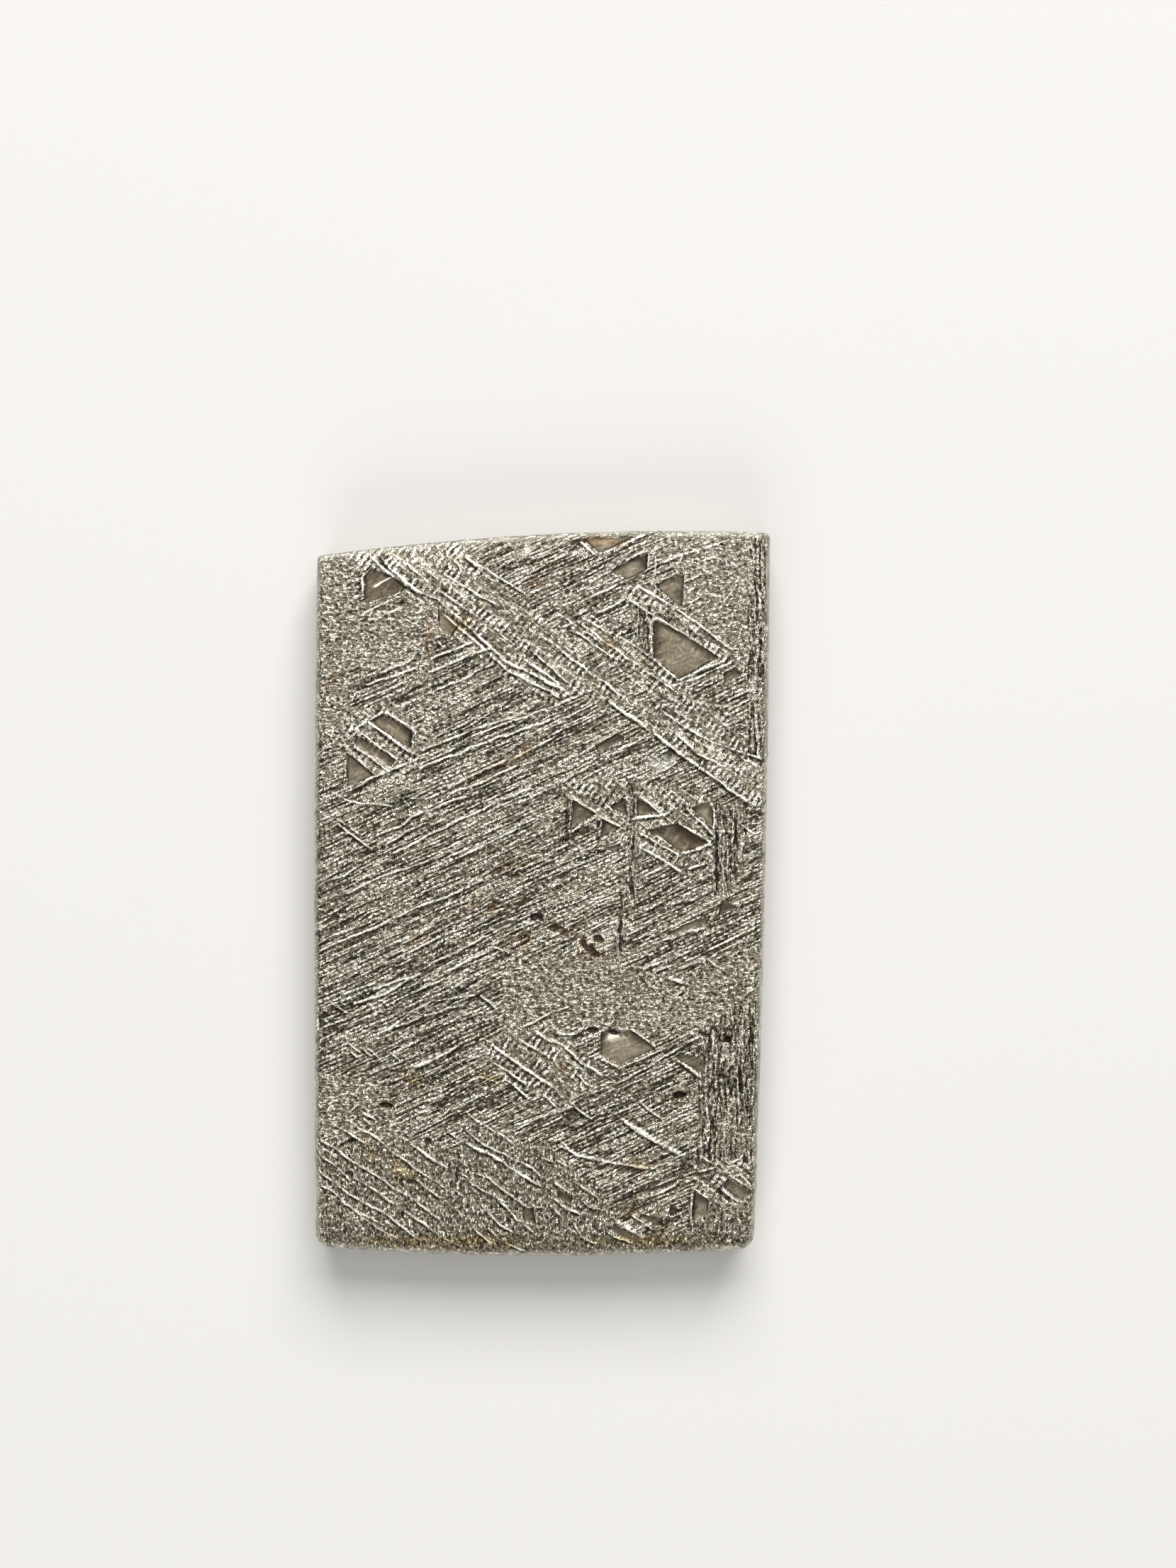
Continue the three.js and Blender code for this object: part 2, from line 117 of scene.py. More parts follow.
MEAN_WIDTH = 16.0
MEAN_LENGTH = 25.2
across_mm, along_mm = np.meshgrid(
    stations(MEAN_WIDTH, SIDE_ROLL), stations(MEAN_LENGTH, END_ROLL)
)
rows, columns = across_mm.shape
on_left = across_mm < MEAN_WIDTH / 2
at_foot = along_mm < MEAN_LENGTH / 2
from_side = np.where(on_left, across_mm, MEAN_WIDTH - across_mm)
from_end = np.where(at_foot, along_mm, MEAN_LENGTH - along_mm)
radius = np.where(
    at_foot,
    np.where(on_left, CORNER_RADII["foot_left"], CORNER_RADII["foot_right"]),
    np.where(on_left, CORNER_RADII["head_left"], CORNER_RADII["head_right"]),
)
p = np.clip(1 - from_side / radius, 0, 1)
q = np.clip(1 - from_end / radius, 0, 1)
p_round, q_round = rounded(p, q)
side_gap = np.where(p > 0, radius * (1 - p_round), from_side)
end_gap = np.where(q > 0, radius * (1 - q_round), from_end)
plan = on_the_plan(
    np.where(on_left, side_gap, MEAN_WIDTH - side_gap) / MEAN_WIDTH,
    np.where(at_foot, end_gap, MEAN_LENGTH - end_gap) / MEAN_LENGTH,
)


def rolled_drop(side_roll, end_roll, depth):
    p = np.clip(1 - from_side / side_roll, 0, 1)
    q = np.clip(1 - from_end / end_roll, 0, 1)
    return depth * (1 - np.sqrt(np.clip(1 - p * p - q * q + p * p * q * q, 0, 1)))


face = np.dstack([plan, THICKNESS - rolled_drop(SIDE_ROLL, END_ROLL, ROLL_DEPTH)])
back = np.dstack([plan, rolled_drop(BACK_SIDE_ROLL, BACK_END_ROLL, BACK_ROLL_DEPTH)])

# The rim of both sheets, counterclockwise, and the four upright sides between them.
number = np.arange(rows * columns).reshape(rows, columns)
rim = np.concatenate([number[0, :-1], number[:-1, -1], number[-1, :0:-1], number[:0:-1, 0]])
wall_heights = np.linspace(
    THICKNESS - ROLL_DEPTH, BACK_ROLL_DEPTH,
    math.ceil((THICKNESS - ROLL_DEPTH - BACK_ROLL_DEPTH) / STEP) + 1,
)[1:-1]
wall = np.array([
    np.column_stack([face.reshape(-1, 3)[rim, :2], np.full(len(rim), height)])
    for height in wall_heights
])
blank = np.concatenate([face.reshape(-1, 3), wall.reshape(-1, 3), back.reshape(-1, 3)])


def sheet_quads(first):
    grid = number + first
    return np.column_stack([
        grid[:-1, :-1].ravel(), grid[:-1, 1:].ravel(), grid[1:, 1:].ravel(), grid[1:, :-1].ravel()
    ])


back_first = rows * columns + wall.shape[0] * len(rim)
rings = [rim]
rings += [rows * columns + i * len(rim) + np.arange(len(rim)) for i in range(wall.shape[0])]
rings += [rim + back_first]
wall_quads = [
    np.column_stack([low, np.roll(low, -1), np.roll(high, -1), high])
    for high, low in zip(rings[:-1], rings[1:])
]
quads = np.concatenate([sheet_quads(0), *wall_quads, sheet_quads(back_first)[:, ::-1]])


def surface_normals(points):
    corner = points[quads]
    flat = np.cross(corner[:, 2] - corner[:, 0], corner[:, 3] - corner[:, 1])
    total = np.column_stack([
        sum(np.bincount(quads[:, k], flat[:, axis], len(points)) for k in range(4))
        for axis in range(3)
    ])
    return total / np.linalg.norm(total, axis=1, keepdims=True)


blank_normal = surface_normals(blank)
on_face = blank[:, 2] > THICKNESS - ROLL_DEPTH - 1e-6

# The crystal. Plates of nickel-rich metal lie along three planes, and the acid leaves their edges
# standing as ribs. A plane is given by the bearing of its traces on the face and its lean.
RISING = {"bearing": 25, "lean": -8}
FALLING = {"bearing": -37, "lean": 30}
UPRIGHT = {"bearing": 91, "lean": 20}
SEED = 4127
random = np.random.default_rng(SEED)

NOISE_CELLS = 32
noise_table = random.uniform(-1, 1, (NOISE_CELLS,) * 3)


def mottle(points, cell, shift=0.0):
    # Smooth random values from -1 to 1, a new one every cell millimetres.
    place = points / cell + shift
    low = np.floor(place).astype(int)
    part = place - low
    part = part * part * (3 - 2 * part)
    total = np.zeros(len(points))
    for bits in itertools.product((0, 1), repeat=3):
        index = (low + bits) % NOISE_CELLS
        share = np.prod(np.where(bits, part, 1 - part), axis=1)
        total += share * noise_table[index[:, 0], index[:, 1], index[:, 2]]
    return total


def plane_axes(plane):
    bearing = math.radians(plane["bearing"])
    lean = math.radians(plane["lean"])
    along = np.array([math.cos(bearing), math.sin(bearing), 0])
    aside = np.array([
        -math.sin(bearing) * math.cos(lean), math.cos(bearing) * math.cos(lean), math.sin(lean)
    ])
    return np.array([along, aside, np.cross(along, aside)])


# The ribs that show one by one, each by the places on the face that it runs through, x and y in
# turn. On the sides of the slice a rib follows its plate down into the metal.
RIB_KINDS = {
    "thin": {"width": 0.032, "height": 0.032},
    "plain": {"width": 0.04, "height": 0.048},
    "bold": {"width": 0.058, "height": 0.065},
    "broad": {"width": 0.1, "height": 0.08},
}
TROUGH_SHIFT = 0.09
TROUGH_WIDTH = 0.05
RIB_REACH = 2.6
RIB_WAVER = 0.03
RIB_SHIVER = 0.015
FAR_AWAY = 9.0

FALLING_RIBS = {
    "thin": [
        # The head.
        [-3.44, 11.32, -1.6, 10.25], [-3.2, 12.0, -2.8, 11.5], [-3.8, 9.05, -3.5, 8.8],
        [1.35, 9.9, 3.4, 8.75, 4.85, 7.65], [1.4, 9.6, 2.9, 8.5, 4.7, 7.2],
        [1.05, 9.4, 2.6, 8.4], [0.5, 10.0, 2.2, 8.9], [-6.5, 5.8, -5.1, 4.75],
        # The foot.
        [-7.8, -4.1, -7.4, -4.35], [-5.45, -5.55, -4.95, -6.0], [-6.9, -5.3, -6.4, -5.7],
        [-6.5, -5.4, -6.0, -5.8], [-6.2, -5.5, -5.7, -5.9], [-6.8, -5.6, -6.3, -6.0],
        [0.3, -4.7, 0.7, -5.0, 1.3, -5.0], [3.05, -7.1, 3.3, -7.4], [-7.9, -9.0, -7.3, -9.4],
        [-6.5, -7.9, -6.0, -8.25], [-5.15, -7.1, -4.9, -7.35],
        [-8.0, -10.3, -7.4, -10.6, -5.9, -11.85, -5.1, -12.3], [-7.3, -10.9, -6.5, -11.3, -5.6, -11.8],
        [-2.6, -7.85, -1.6, -8.5], [-1.6, -8.4, -0.9, -8.95], [-2.9, -9.5, -2.6, -9.7],
        [-2.95, -9.9, -2.6, -10.1], [-3.15, -10.5, -2.7, -10.8], [7.2, -9.65, 7.6, -9.85],
        [2.7, -9.35, 3.1, -9.5], [1.1, -11.95, 1.3, -12.2], [7.0, -9.9, 7.6, -10.6],
        [6.8, 2.9, 7.0, 2.5, 7.6, 2.1],
    ],
    "plain": [
        # The head, from the left corner.
        [-5.27, 12.0, -4.25, 11.3], [-2.8, 12.0, -0.55, 10.65], [-6.15, 12.0, -4.6, 10.75],
        [-3.75, 10.2, -2.56, 9.15, -1.3, 8.0, 0.7, 6.95], [-0.4, 8.65, 1.0, 7.45],
        [-0.4, 8.2, 0.7, 7.4], [1.35, 12.5, 2.0, 12.0], [3.0, 10.5, 6.4, 8.4],
        [3.4, 10.95, 5.1, 9.95, 6.8, 8.65], [0.24, 9.04, 1.0, 8.4, 1.7, 7.9, 2.4, 7.4, 3.1, 6.8],
        # Down to the right edge.
        [2.9, 6.4, 3.7, 6.0], [4.11, 6.6, 5.0, 6.0, 6.0, 5.43, 7.5, 4.9, 8.4, 4.6],
        [4.8, 5.7, 5.5, 5.0, 6.2, 4.7], [5.1, 3.1, 6.2, 2.0], [3.4, 2.2, 4.9, 1.35],
        [3.3, 1.75, 4.5, 1.1, 5.0, 0.75], [1.1, 3.4, 2.0, 2.85], [2.15, 2.7, 2.85, 2.35],
        [3.35, 3.5, 4.25, 2.9],
        # Around the fields at the left edge.
        [-5.6, 6.55, -4.5, 5.8], [-6.25, 6.15, -4.65, 5.0], [-6.75, 5.3, -5.45, 4.4],
        [-7.0, 5.15, -5.85, 4.2], [-7.4, 2.7, -6.4, 2.1], [-7.3, 2.5, -6.0, 1.55],
        [-7.6, -3.8, -6.8, -4.3],
        # The fan below the middle.
        [-1.7, -6.0, -0.5, -6.8], [-0.8, -5.15, 0.4, -5.9], [-0.35, -4.9, 0.4, -5.3],
        [-1.4, -6.5, -0.4, -7.3], [0.0, -6.55, 0.6, -7.0], [0.0, -7.1, 0.5, -7.6],
        [1.2, -6.4, 1.7, -6.8], [0.95, -7.25, 1.2, -7.6, 1.8, -8.05], [3.15, -4.8, 4.1, -5.5],
        [2.0, -5.8, 2.75, -6.2], [3.4, -7.35, 4.3, -8.0],
        # The foot's left corner, widely spaced.
        [-8.6, -9.4, -7.3, -10.3, -6.9, -10.65, -5.4, -11.5, -5.0, -11.85, -4.3, -12.4],
        [-8.6, -8.8, -7.5, -9.55, -7.0, -10.0, -6.8, -10.2],
        [-8.6, -8.35, -7.5, -8.95, -6.5, -9.65, -5.5, -10.3, -4.5, -10.9, -3.6, -11.6],
        [-7.4, -8.2, -6.8, -8.55, -6.2, -8.9],
        [-6.95, -8.0, -6.5, -8.35, -6.0, -8.55, -5.2, -9.25, -4.2, -9.95, -3.4, -10.5],
        [-4.3, -10.3, -3.6, -10.85], [-3.4, -8.4, -3.0, -8.7],
        [-2.7, -8.4, -2.0, -8.95, -1.3, -9.25, -0.3, -9.8, 0.0, -10.1],
        [-2.4, -9.95, -1.9, -10.1, -1.4, -10.5, -0.5, -11.15, 0.1, -11.15],
        [-2.6, -10.2, -2.0, -10.6, -1.3, -11.0], [-2.2, -11.0, -2.0, -11.3, -1.3, -11.9, -1.0, -12.1],
        [-2.4, -11.9, -2.1, -12.2, -1.8, -12.5], [-1.9, -11.9, -1.4, -12.4, -0.6, -12.85],
        # The foot's right corner.
        [0.0, -9.4, 0.4, -9.55], [0.5, -9.45, 0.95, -9.75], [0.4, -10.25, 1.1, -10.7],
        [1.2, -10.3, 1.7, -10.6, 2.05, -10.85], [1.4, -10.9, 1.6, -11.1, 2.0, -11.2],
        [0.3, -11.1, 0.75, -11.5], [1.1, -11.7, 1.4, -12.2, 1.9, -12.5],
        [2.15, -11.95, 2.7, -12.25, 3.2, -12.5], [3.15, -11.4, 3.6, -11.7, 4.0, -11.95],
        [5.35, -10.45, 6.0, -10.85], [6.6, -9.95, 8.0, -10.9], [6.4, -10.5, 7.1, -11.0],
        [5.6, -9.3, 6.2, -9.65],
    ],
    "bold": [
        [-5.75, 11.9, -4.6, 10.85, -3.7, 10.44, -2.56, 9.43, -1.23, 8.23, 0.8, 7.25],
        [-3.75, 10.85, -2.2, 9.8], [2.4, 6.8, 3.8, 5.9], [3.9, 5.8, 4.9, 5.0, 6.0, 4.2, 7.6, 3.1],
        [4.8, 2.6, 6.0, 1.8], [-2.2, -3.6, -1.6, -4.1], [-1.75, -5.4, -1.0, -5.95, 0.4, -6.85],
        [-0.3, -4.85, 0.8, -5.4, 1.4, -6.0, 2.2, -6.5], [4.7, -5.85, 5.7, -6.55],
        [0.55, -8.95, 1.3, -9.3, 2.75, -9.6, 4.1, -9.8],
        [-6.75, -10.05, -6.0, -10.5, -5.0, -11.2, -4.2, -11.75, -3.5, -12.25, -2.85, -12.65],
        [-4.7, -8.85, -4.1, -9.3, -3.3, -9.75], [-6.4, -7.75, -5.9, -8.05],
        [-2.75, -8.85, -2.0, -9.2, -1.1, -9.75, -0.8, -9.95, 0.0, -10.4],
        [-1.6, -10.9, -1.2, -11.2, -0.9, -11.6, -0.5, -11.85, -0.3, -12.1],
        [0.4, -10.8, 0.8, -11.1, 1.4, -11.4], [0.65, -8.8, 1.0, -9.1],
    ],
    "broad": [
        [2.7, -7.95, 3.3, -8.35, 4.0, -8.75, 5.0, -9.35], [2.6, -11.6, 3.1, -11.9, 3.7, -12.3],
    ],
}
RISING_RIBS = {
    "thin": [
        # The head.
        [-6.5, 9.87, -5.4, 10.5], [-5.96, 9.75, -4.9, 10.25], [-0.55, 10.65, 0.3, 11.0],
        [4.3, 11.8, 6.6, 12.6], [5.5, 11.75, 6.4, 12.1], [0.7, 9.5, 1.5, 9.75],
        [5.1, 10.3, 5.6, 10.5], [5.1, 10.7, 5.5, 10.9], [5.1, 11.1, 5.6, 11.35],
        # From the left edge to the middle.
        [-2.5, 5.6, 0.2, 6.6], [-7.4, 3.55, -6.9, 3.3, -5.2, 3.1], [-4.7, 3.4, -4.1, 3.35, -3.6, 3.65],
        [-8.05, -1.35, -7.1, -0.85], [-6.9, -4.65, -5.6, -4.1], [-8.0, -5.25, -7.3, -4.9],
        # The foot.
        [4.3, -1.65, 5.9, -1.15], [-6.9, -7.8, -6.4, -7.3], [-0.9, -8.35, 0.3, -7.8],
        [-4.0, -8.2, -3.2, -7.6], [4.2, -11.1, 4.85, -10.7], [3.9, -10.0, 4.3, -9.85],
        [4.0, -10.4, 4.8, -10.05], [6.7, -9.6, 7.1, -9.35],
    ],
    "plain": [
        # The head.
        [-6.05, 10.9, -5.3, 11.3], [-6.3, 7.4, -4.4, 8.05], [-6.4, 6.9, -4.7, 7.6],
        [-4.0, 8.35, -2.4, 9.0], [-4.1, 7.1, -3.0, 7.55, -1.7, 8.2], [2.1, 12.1, 4.0, 12.95],
        [2.35, 11.5, 3.8, 12.3], [4.7, 7.4, 6.8, 8.25], [1.5, 10.43, 2.63, 11.0],
        [1.0, 9.8, 1.7, 10.15], [1.9, 9.95, 3.0, 10.5], [0.2, 6.6, 1.9, 7.3],
        # From the left edge to the middle.
        [-6.7, 5.85, -5.6, 6.5], [-6.9, 3.65, -5.9, 4.2], [-5.83, 4.24, -4.2, 4.9],
        [-4.26, 5.12, -2.3, 5.9, -0.5, 6.47], [-4.4, 4.45, -1.6, 5.55, 0.4, 6.2],
        [-3.4, 3.5, -2.2, 3.95, -0.8, 4.6], [-5.6, 1.75, -4.2, 2.55],
        [-5.3, 1.4, -2.8, 2.7, -0.4, 3.8], [-3.0, 1.3, -0.9, 2.3], [-8.5, 0.05, -7.0, 0.7, -6.5, 0.95],
        [-7.0, 0.0, -5.9, 0.55, -3.4, 1.4], [-8.0, -1.75, -6.9, -1.25],
        [-8.6, -2.3, -6.0, -1.2, -4.4, -0.45, -2.9, 0.1], [-5.0, -1.8, -3.8, -1.1],
        [-4.75, -2.1, -3.2, -1.3], [-4.1, -2.55, -2.8, -1.95, -2.0, -1.45],
        [-3.5, -2.8, -1.7, -1.9, -1.1, -2.1], [-7.2, -3.6, -5.9, -3.15], [-6.0, -3.4, -4.4, -2.85],
        [-4.5, -3.5, -3.6, -3.05], [-4.8, -4.25, -3.9, -3.8, -2.3, -3.6], [-5.9, -5.05, -5.0, -4.5],
        [-6.2, -5.1, -4.2, -4.35, -2.7, -3.9],
        # Right of the middle.
        [1.5, 5.1, 2.7, 5.75], [2.1, 4.85, 3.4, 5.4], [3.1, 2.65, 4.5, 2.85], [4.95, 1.4, 6.05, 1.8],
        [5.1, 0.85, 6.0, 1.15], [3.5, 0.55, 4.5, 1.05], [2.05, 1.6, 2.85, 1.85], [1.0, 2.2, 2.0, 2.8],
        [4.0, -2.8, 4.9, -2.45], [4.9, -2.7, 5.8, -2.3, 6.6, -2.8], [5.9, -2.0, 8.4, -0.8],
        [0.4, -2.0, 1.0, -1.7], [-1.75, -1.35, -0.9, -1.0],
        # The foot.
        [-0.6, -4.7, 0.4, -4.2, 1.0, -4.0], [2.75, -6.2, 4.2, -5.55], [2.6, -6.8, 4.0, -6.0, 5.7, -5.0],
        [-2.7, -6.7, -2.2, -6.5, -1.5, -6.75], [-8.5, -7.8, -7.2, -7.3],
        [3.4, -10.85, 4.0, -10.7, 4.9, -10.25], [5.6, -9.9, 6.2, -9.7],
    ],
    "bold": [
        [-5.8, 7.8, -4.5, 8.4], [-4.05, 7.85, -2.6, 8.5, -1.75, 8.75], [4.85, 7.6, 6.6, 8.35],
        [-3.4, 3.75, -2.0, 4.45, -1.0, 4.85, 0.3, 5.5], [-6.0, 2.05, -5.1, 2.4, -4.6, 2.75, -2.7, 3.5],
        [-3.2, 1.35, -2.6, 1.65], [-6.75, -3.95, -5.6, -3.55, -4.3, -2.8],
        [-4.65, -6.2, -3.8, -5.85, -2.95, -5.4], [3.45, -2.65, 5.3, -2.05], [4.4, -3.0, 5.2, -3.2],
    ],
}
UPRIGHT_RIBS = {
    "thin": [[4.0, 11.3, 4.05, 12.2], [3.88, 8.5, 3.88, 9.8], [-2.85, -11.5, -3.1, -11.0]],
    "plain": [[-6.4, 10.6, -6.4, 11.3], [6.1, 2.2, 6.12, 3.1], [5.3, -11.7, 5.35, -10.5]],
}
# Seams: dark lines where the metal has opened along a plate.
SEAMS = [
    [0.82, 1.0, 0.88, 3.5], [1.95, 1.6, 1.97, 2.9], [3.22, -0.2, 3.2, 4.0], [6.2, 0.0, 6.25, 3.0],
    [6.75, 0.5, 6.95, 3.0], [2.8, -2.2, 2.82, 0.0], [6.35, -6.9, 6.4, -5.0], [7.45, -5.5, 7.5, -4.6],
    [5.22, -12.0, 5.28, -10.3], [4.82, -11.6, 4.9, -10.7], [6.28, -11.3, 6.4, -9.9],
    [6.66, -9.5, 6.75, -8.5], [-3.05, -11.0, -3.0, -9.0], [3.35, -2.85, 3.9, -3.5],
    [4.4, -3.7, 5.05, -4.5], [-5.2, -8.4, -4.6, -8.8], [-6.0, -9.3, -5.6, -9.0],
    [-3.75, 10.98, -2.2, 9.93], [6.0, -6.8, 6.05, -8.6], [7.0, -6.0, 7.1, -8.8],
]
SEAM_WIDTH = 0.042
SEAM_DEPTH = 0.06

rib = np.zeros(len(blank))
crest = np.zeros(len(blank))
trough = np.zeros(len(blank))
seam = np.zeros(len(blank))
depth = THICKNESS - blank[:, 2]
closest = np.full(len(blank), FAR_AWAY)
moved = np.zeros((len(blank), 2))


def beside(points, plane, shift):
    # The vertices near a broken line that wavers: which they are, how far along it they lie, how
    # far off it with the head's side positive, how far from its ends, and the way across it.
    # Below the face the line is moved over with the lean of its plate.
    points = np.array(points).reshape(-1, 2)
    bearing = math.radians(plane["bearing"])
    lean = math.tan(math.radians(plane["lean"]))
    sideways = np.array([-math.sin(bearing), math.cos(bearing)])
    place = blank[:, :2] - (depth * lean)[:, None] * sideways
    margin = 0.4
    low, high = points.min(0) - margin, points.max(0) + margin
    near = np.flatnonzero(((place > low) & (place < high)).all(1) & (depth < RIB_REACH))
    place = place[near]
    off = np.full(len(near), FAR_AWAY)
    run = np.zeros(len(near))
    across = np.zeros((len(near), 2))
    length = 0.0
    for start, end in zip(points[:-1], points[1:]):
        span = np.linalg.norm(end - start)
        along = (end - start) / span
        head_side = np.array([-along[1], along[0]]) * (1 if along[0] > 0 else -1)
        from_start = place - start
        reached = np.clip(from_start @ along, 0, span)
        gap = from_start - reached[:, None] * along
        distance = np.linalg.norm(gap, axis=1)
        closer = distance < np.abs(off)
        off = np.where(closer, distance * np.where(gap @ head_side > 0, 1, -1), off)
        run = np.where(closer, length + reached, run)
        across[closer] = head_side
        length += span
    line = np.column_stack([run, np.full(len(run), shift), np.zeros(len(run))])
    off = off + RIB_WAVER * mottle(line, 0.5) + RIB_SHIVER * mottle(line, 0.18, 3.0)
    return near, line, off, np.minimum(run, length - run), across


ribs = [
    (plane, points, kind, random.uniform(0, 4000))
    for plane, kinds in ((FALLING, FALLING_RIBS), (RISING, RISING_RIBS), (UPRIGHT, UPRIGHT_RIBS))
    for kind, lines in kinds.items()
    for points in lines
]

# The vertices of the face next to a rib are drawn onto its crest, so that the crest is one clean
# line of edges. The furthest that one is drawn is half a step of the mesh.
SNAP_REACH = 0.51 * STEP
CREST_REACH = 0.35 * STEP
for plane, points, kind, shift in ribs:
    near, line, off, from_end, across = beside(points, plane, shift)
    limit = SNAP_REACH * np.abs(across).max(1)
    snapped = (np.abs(off) < np.minimum(limit, closest[near])) & (depth[near] < ROLL_DEPTH / 2)
    closest[near[snapped]] = np.abs(off[snapped])
    moved[near[snapped]] = -off[snapped, None] * across[snapped]
blank[:, :2] += moved

for plane, points, kind, shift in ribs:
    near, line, off, from_end, across = beside(points, plane, shift)
    was_moved = np.linalg.norm(moved[near], axis=1) > 0
    off = np.where(was_moved & (np.abs(off) < CREST_REACH), 0, off)
    fade = np.clip(0.35 + from_end / 0.2, 0, 1) * np.clip(1.3 - depth[near] / RIB_REACH, 0, 1)
    strength = fade * np.clip(0.85 + 0.4 * mottle(line, 0.3, 7.0), 0.25, 1.15)
    width = RIB_KINDS[kind]["width"] * (1 + 0.3 * mottle(line, 0.25, 5.0))
    height = RIB_KINDS[kind]["height"]
    ridge = strength * np.exp(-((off / width) ** 2))
    hollow = strength * np.exp(-(((off + TROUGH_SHIFT) / TROUGH_WIDTH) ** 2))
    rib[near] = np.maximum(rib[near], height * ridge)
    crest[near] = np.maximum(crest[near], ridge)
    trough[near] = np.maximum(trough[near], hollow * height / RIB_KINDS["bold"]["height"])

for points in SEAMS:
    near, line, off, from_end, across = beside(points, UPRIGHT, random.uniform(0, 4000))
    opened = np.exp(-((off / SEAM_WIDTH) ** 2)) * np.clip(0.6 + 0.7 * mottle(line, 0.3, 9.0), 0, 1)
    seam[near] = np.maximum(seam[near], opened * np.clip(from_end / 0.3, 0.2, 1))

# The face between the ribs is a mosaic: each patch shows the fine edges of one set of plates, as
# beads in rows, bars across bands, upright strokes, threads, flecks or plain grains. A later patch
# cuts over the ones before it, and what no patch covers is rows of beads.
FILLINGS = ("beads", "bars", "strokes", "flecks", "threads", "grains")
PATCHES = [
    # The head.
    ["grains", [-6.9, 8.2, -4.2, 7.7, -4.2, 10.3, -6.9, 10.4]],
    ["grains", [-8.5, 5.4, -6.9, 5.2, -6.6, 12.4, -8.5, 12.4]],
    ["grains", [5.2, 8.6, 7.5, 7.6, 7.6, 13.1, 4.4, 13.0]],
    ["threads", [-2.9, 11.2, 0.2, 10.9, 0.4, 13.0, -3.0, 13.0]],
    ["threads", [-0.2, 5.0, 2.5, 5.6, 2.5, 6.8, -0.2, 6.4]],
    ["bars", [-6.6, 12.7, -7.0, 12.0, 0.2, 6.6, 1.2, 7.2, -4.6, 12.7]],
    ["bars", [-4.7, 12.8, -5.2, 12.2, -1.9, 9.7, -0.7, 10.3, -3.2, 12.8]],
    ["bars", [-2.2, 10.3, -1.9, 9.2, 2.2, 6.6, 3.6, 6.7, -0.6, 10.3]],
    ["bars", [1.0, 10.3, 0.6, 9.5, 5.6, 5.9, 6.9, 6.2, 3.6, 8.6]],
    ["bars", [2.9, 10.9, 2.7, 10.4, 6.3, 8.0, 7.3, 8.1, 3.6, 11.2]],
    ["bars", [3.4, 6.9, 3.6, 5.9, 8.4, 2.6, 8.4, 5.0, 5.6, 6.4]],
    ["bars", [-7.0, 6.2, -7.1, 5.0, -5.6, 4.2, -4.3, 4.5, -4.3, 5.9, -5.6, 6.8]],
    ["strokes", [7.3, 4.8, 8.5, 4.8, 8.5, 13.1, 7.4, 13.1]],
    ["grains", [-4.3, 5.2, -3.85, 5.2, -3.8, 10.4, -4.2, 10.4]],
    ["strokes", [3.25, 8.8, 3.9, 8.5, 3.9, 10.2, 3.2, 10.5]],
    # Across the middle.
    ["threads", [-8.5, 0.4, -7.0, 1.0, -6.9, 2.4, -8.5, 2.0]],
    ["threads", [1.2, -0.3, 3.0, 0.3, 3.0, -1.4, 1.2, -1.9]],
    ["threads", [-6.6, 0.9, -6.4, 0.2, 0.4, 3.0, 0.4, 4.4, -2.4, 3.4]],
    ["threads", [-8.5, -2.6, -8.5, -3.5, -3.2, -1.2, -3.4, -0.5]],
    ["bars", [0.7, 4.1, 0.7, 3.1, 3.4, 1.5, 5.6, 0.5, 6.2, 0.9, 6.1, 3.6, 3.4, 4.0]],
    ["strokes", [3.0, -0.2, 3.4, -0.2, 3.4, 4.0, 3.05, 4.0]],
    ["strokes", [6.05, -0.1, 7.1, 0.2, 7.3, 3.2, 6.1, 3.2]],
    ["strokes", [2.65, -2.3, 3.0, -2.3, 3.0, 0.2, 2.7, 0.2]],
    ["grains", [-1.3, -2.3, 1.2, -2.1, 3.1, -2.6, 4.9, -3.1, 5.0, -5.0, -0.2, -4.7, -1.4, -4.6]],
    ["grains", [4.9, -2.9, 8.2, -1.7, 8.2, -4.3, 5.0, -5.0]],
    # The foot.
    ["threads", [-6.9, -5.2, -6.8, -6.3, -5.4, -6.4, -5.5, -5.2]],
    ["grains", [-8.5, -6.3, -5.6, -6.8, -5.0, -8.7, -8.5, -8.6]],
    ["bars", [-2.0, -5.2, -1.6, -6.5, 0.6, -7.7, 2.3, -6.5, 0.4, -4.6, -0.8, -4.6]],
    ["strokes", [5.6, -4.6, 8.2, -3.6, 8.0, -9.9, 5.5, -9.6]],
    ["threads", [-1.0, -8.8, -0.9, -8.1, 0.5, -7.5, 0.5, -8.1]],
    ["flecks", [
        -8.5, -8.9, -4.6, -8.6, -3.0, -9.2, -2.4, -8.2, 0.8, -9.3, 2.6, -11.2, 2.6, -13.4, -8.5, -13.4,
    ]],
    ["flecks", [2.5, -12.0, 5.2, -12.0, 5.2, -11.0, 8.2, -11.4, 8.2, -13.4, 2.5, -13.4]],
    ["bars", [5.4, -9.6, 7.9, -9.6, 7.9, -11.2, 5.3, -11.2]],
]
PATCH_REACH = 0.3
PATCH_EDGE = 0.12


